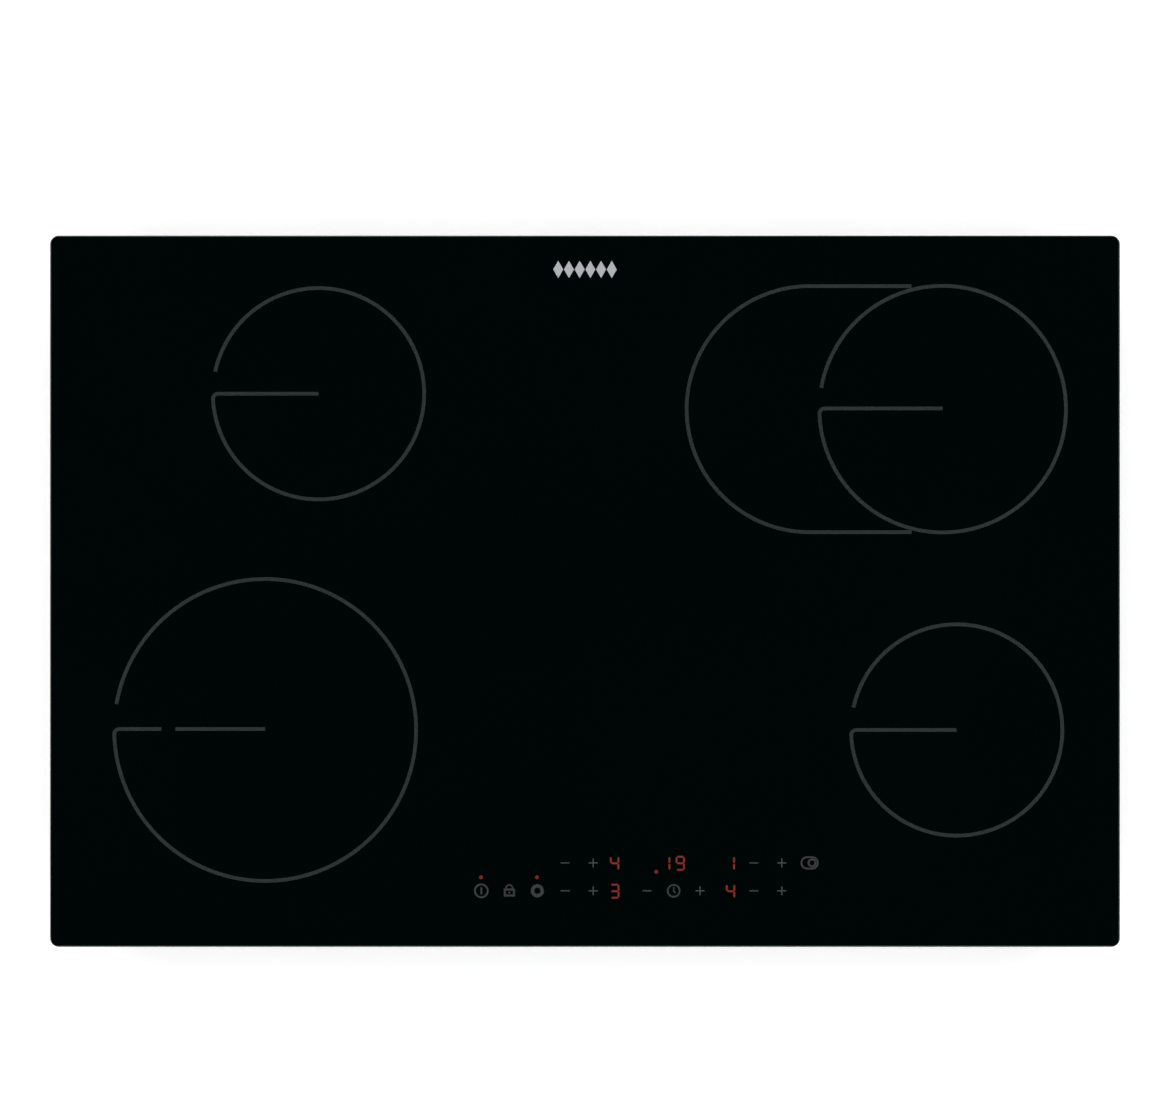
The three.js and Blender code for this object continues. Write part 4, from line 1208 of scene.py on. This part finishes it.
def mould_cover():
    """A raised border and finger grips on the outer face of the terminal cover."""
    shape = FlatShape(COVER_MOULDING["bottom"], COVER_MOULDING["height"])
    (x0, x1), (y0, y1) = COVER_BORDER["x"], COVER_BORDER["y"]
    shape.stroke([(x0, y0), (x1, y0), (x1, y1), (x0, y1)], COVER_BORDER["width"], closed=True)
    left, right = around(0, COVER_GRIPS["half_length"])
    for i in range(COVER_GRIPS["count"]):
        y = COVER_GRIPS["last"] - i * COVER_GRIPS["pitch"]
        shape.stroke([(left, y), (right, y)], COVER_GRIPS["width"])
    made = shape.make("terminal_cover_moulding", "black_plastic", "terminal_cover")


# ---------- rounded edges of the CAD nodes ----------
# Widths of the rounded edges, by the starts of the nodes' names.
EDGES = {
    0.2: ("base_tray", "clamp_screw", "heater_rail"),
    0.25: ("glass_carrier_frame",),
    0.3: ("terminal_", "control_carrier", "clamp_bush", "display", "cable_inlet_bush"),
    0.35: ("clamp_arm", "frame_screw"),
    0.4: ("worktop_seal",),
    0.6: ("relay",),
}


def soften_cad_nodes():
    for name, node in frame["nodes"].items():
        edge = next((width for width, starts in EDGES.items() if name.startswith(starts)), 0.0)
        weld = node.modifiers.new("joined_faces", "WELD")
        weld.merge_threshold = WELD_DISTANCE * MM
        node.data.polygons.foreach_set("use_smooth", [True] * len(node.data.polygons))
        soften(node, edge)


# ---------- studio ----------
CAMERA_AIM = (0.0, 27.15)
FRAME_WIDTH = 841.7  # seen across the picture at the glass
LENS = 85.0
SENSOR = 36.0
FLOOR_HALF = 30.0
FLOOR_GLOW = (0.8, 5.0, 0.4, 0.95)  # from and to, in metres, and the strength at each
SKY = [(0.0, 0.95), (0.12, 0.9), (0.35, 0.3), (0.6, 0.12), (0.85, 0.0)]  # height and brightness
SOFTBOXES = [
    {"at": (2.3, 0.0, 1.5), "size": (2.0, 1.2), "watts": 34},
    {"at": (-2.3, 0.0, 1.5), "size": (2.0, 1.2), "watts": 34},
    {"at": (0.0, 2.2, 1.6), "size": (2.4, 1.2), "watts": 34},
    {"at": (0.0, -2.2, 1.6), "size": (2.4, 1.2), "watts": 30},
]


def make_camera():
    data = bpy.data.cameras.new("camera")
    data.lens = LENS
    data.sensor_width = SENSOR
    data.clip_start = 0.01
    data.clip_end = 100
    camera = put_in_scene("camera", data)
    distance = FRAME_WIDTH * LENS / SENSOR
    camera.location = Vector((*CAMERA_AIM, GLASS_TOP + distance)) * MM
    bpy.context.scene.camera = camera


def make_floor():
    paint = Paint("pale_floor", roughness=0.9)
    tone = paint.noise(0.6, detail=2)
    paint.tint(tone, [(0.3, (0.8, 0.8, 0.8)), (0.7, (0.83, 0.83, 0.83))])
    paint.shader.inputs["Emission Color"].default_value = (1.0, 1.0, 1.0, 1.0)
    away = paint.node("ShaderNodeVectorMath", {0: paint.place}, operation="LENGTH").outputs["Value"]
    glow = paint.levels(away, *FLOOR_GLOW)
    paint.join(glow, paint.shader.inputs["Emission Strength"])
    corners = [(-1, -1), (1, -1), (1, 1), (-1, 1)]
    mesh = bpy.data.meshes.new("floor")
    vertices = [(x * FLOOR_HALF, y * FLOOR_HALF, cad_low.z) for x, y in corners]
    mesh.from_pydata(vertices, [], [(0, 1, 2, 3)])
    mesh.materials.append(paint.material)
    floor = put_in_scene("floor", mesh)


def make_softboxes():
    for i, box in enumerate(SOFTBOXES, 1):
        data = bpy.data.lights.new("softbox_%d" % i, "AREA")
        data.shape = "RECTANGLE"
        data.size, data.size_y = box["size"]
        data.energy = box["watts"]
        light = put_in_scene(data.name, data)
        light.location = box["at"]
        light.rotation_euler = (-Vector(box["at"])).to_track_quat("-Z", "Y").to_euler()
        light.visible_camera = False


def make_world():
    """Bright at the horizon and dark overhead, so that the glass stays black from above."""
    world = bpy.data.worlds.new("studio")
    bpy.context.scene.world = world
    world.use_nodes = True
    tree = world.node_tree
    place = tree.nodes.new("ShaderNodeTexCoord")
    split = tree.nodes.new("ShaderNodeSeparateXYZ")
    ramp = tree.nodes.new("ShaderNodeValToRGB")
    tree.links.new(place.outputs["Generated"], split.inputs[0])
    tree.links.new(split.outputs["Z"], ramp.inputs["Fac"])
    tree.links.new(ramp.outputs["Color"], tree.nodes["Background"].inputs["Color"])
    set_stops(ramp, [(height, (level, level, level)) for height, level in SKY])
    bpy.context.scene.view_settings.view_transform = "Standard"


# ---------- everything ----------
make_camera()
make_floor()
make_softboxes()
make_world()

paint_cad_nodes()
print_rings()
print_oval()
print_signs()
print_symbols()
print_emblem()
light_digits()
light_lamps()

soften_cad_nodes()
lay_elements()
make_limiters()
make_power_board()
make_touch_board()
make_transformer()
dress_relays()
run_wires()
cut_threads()
fit_terminal_screws()
mould_cover()
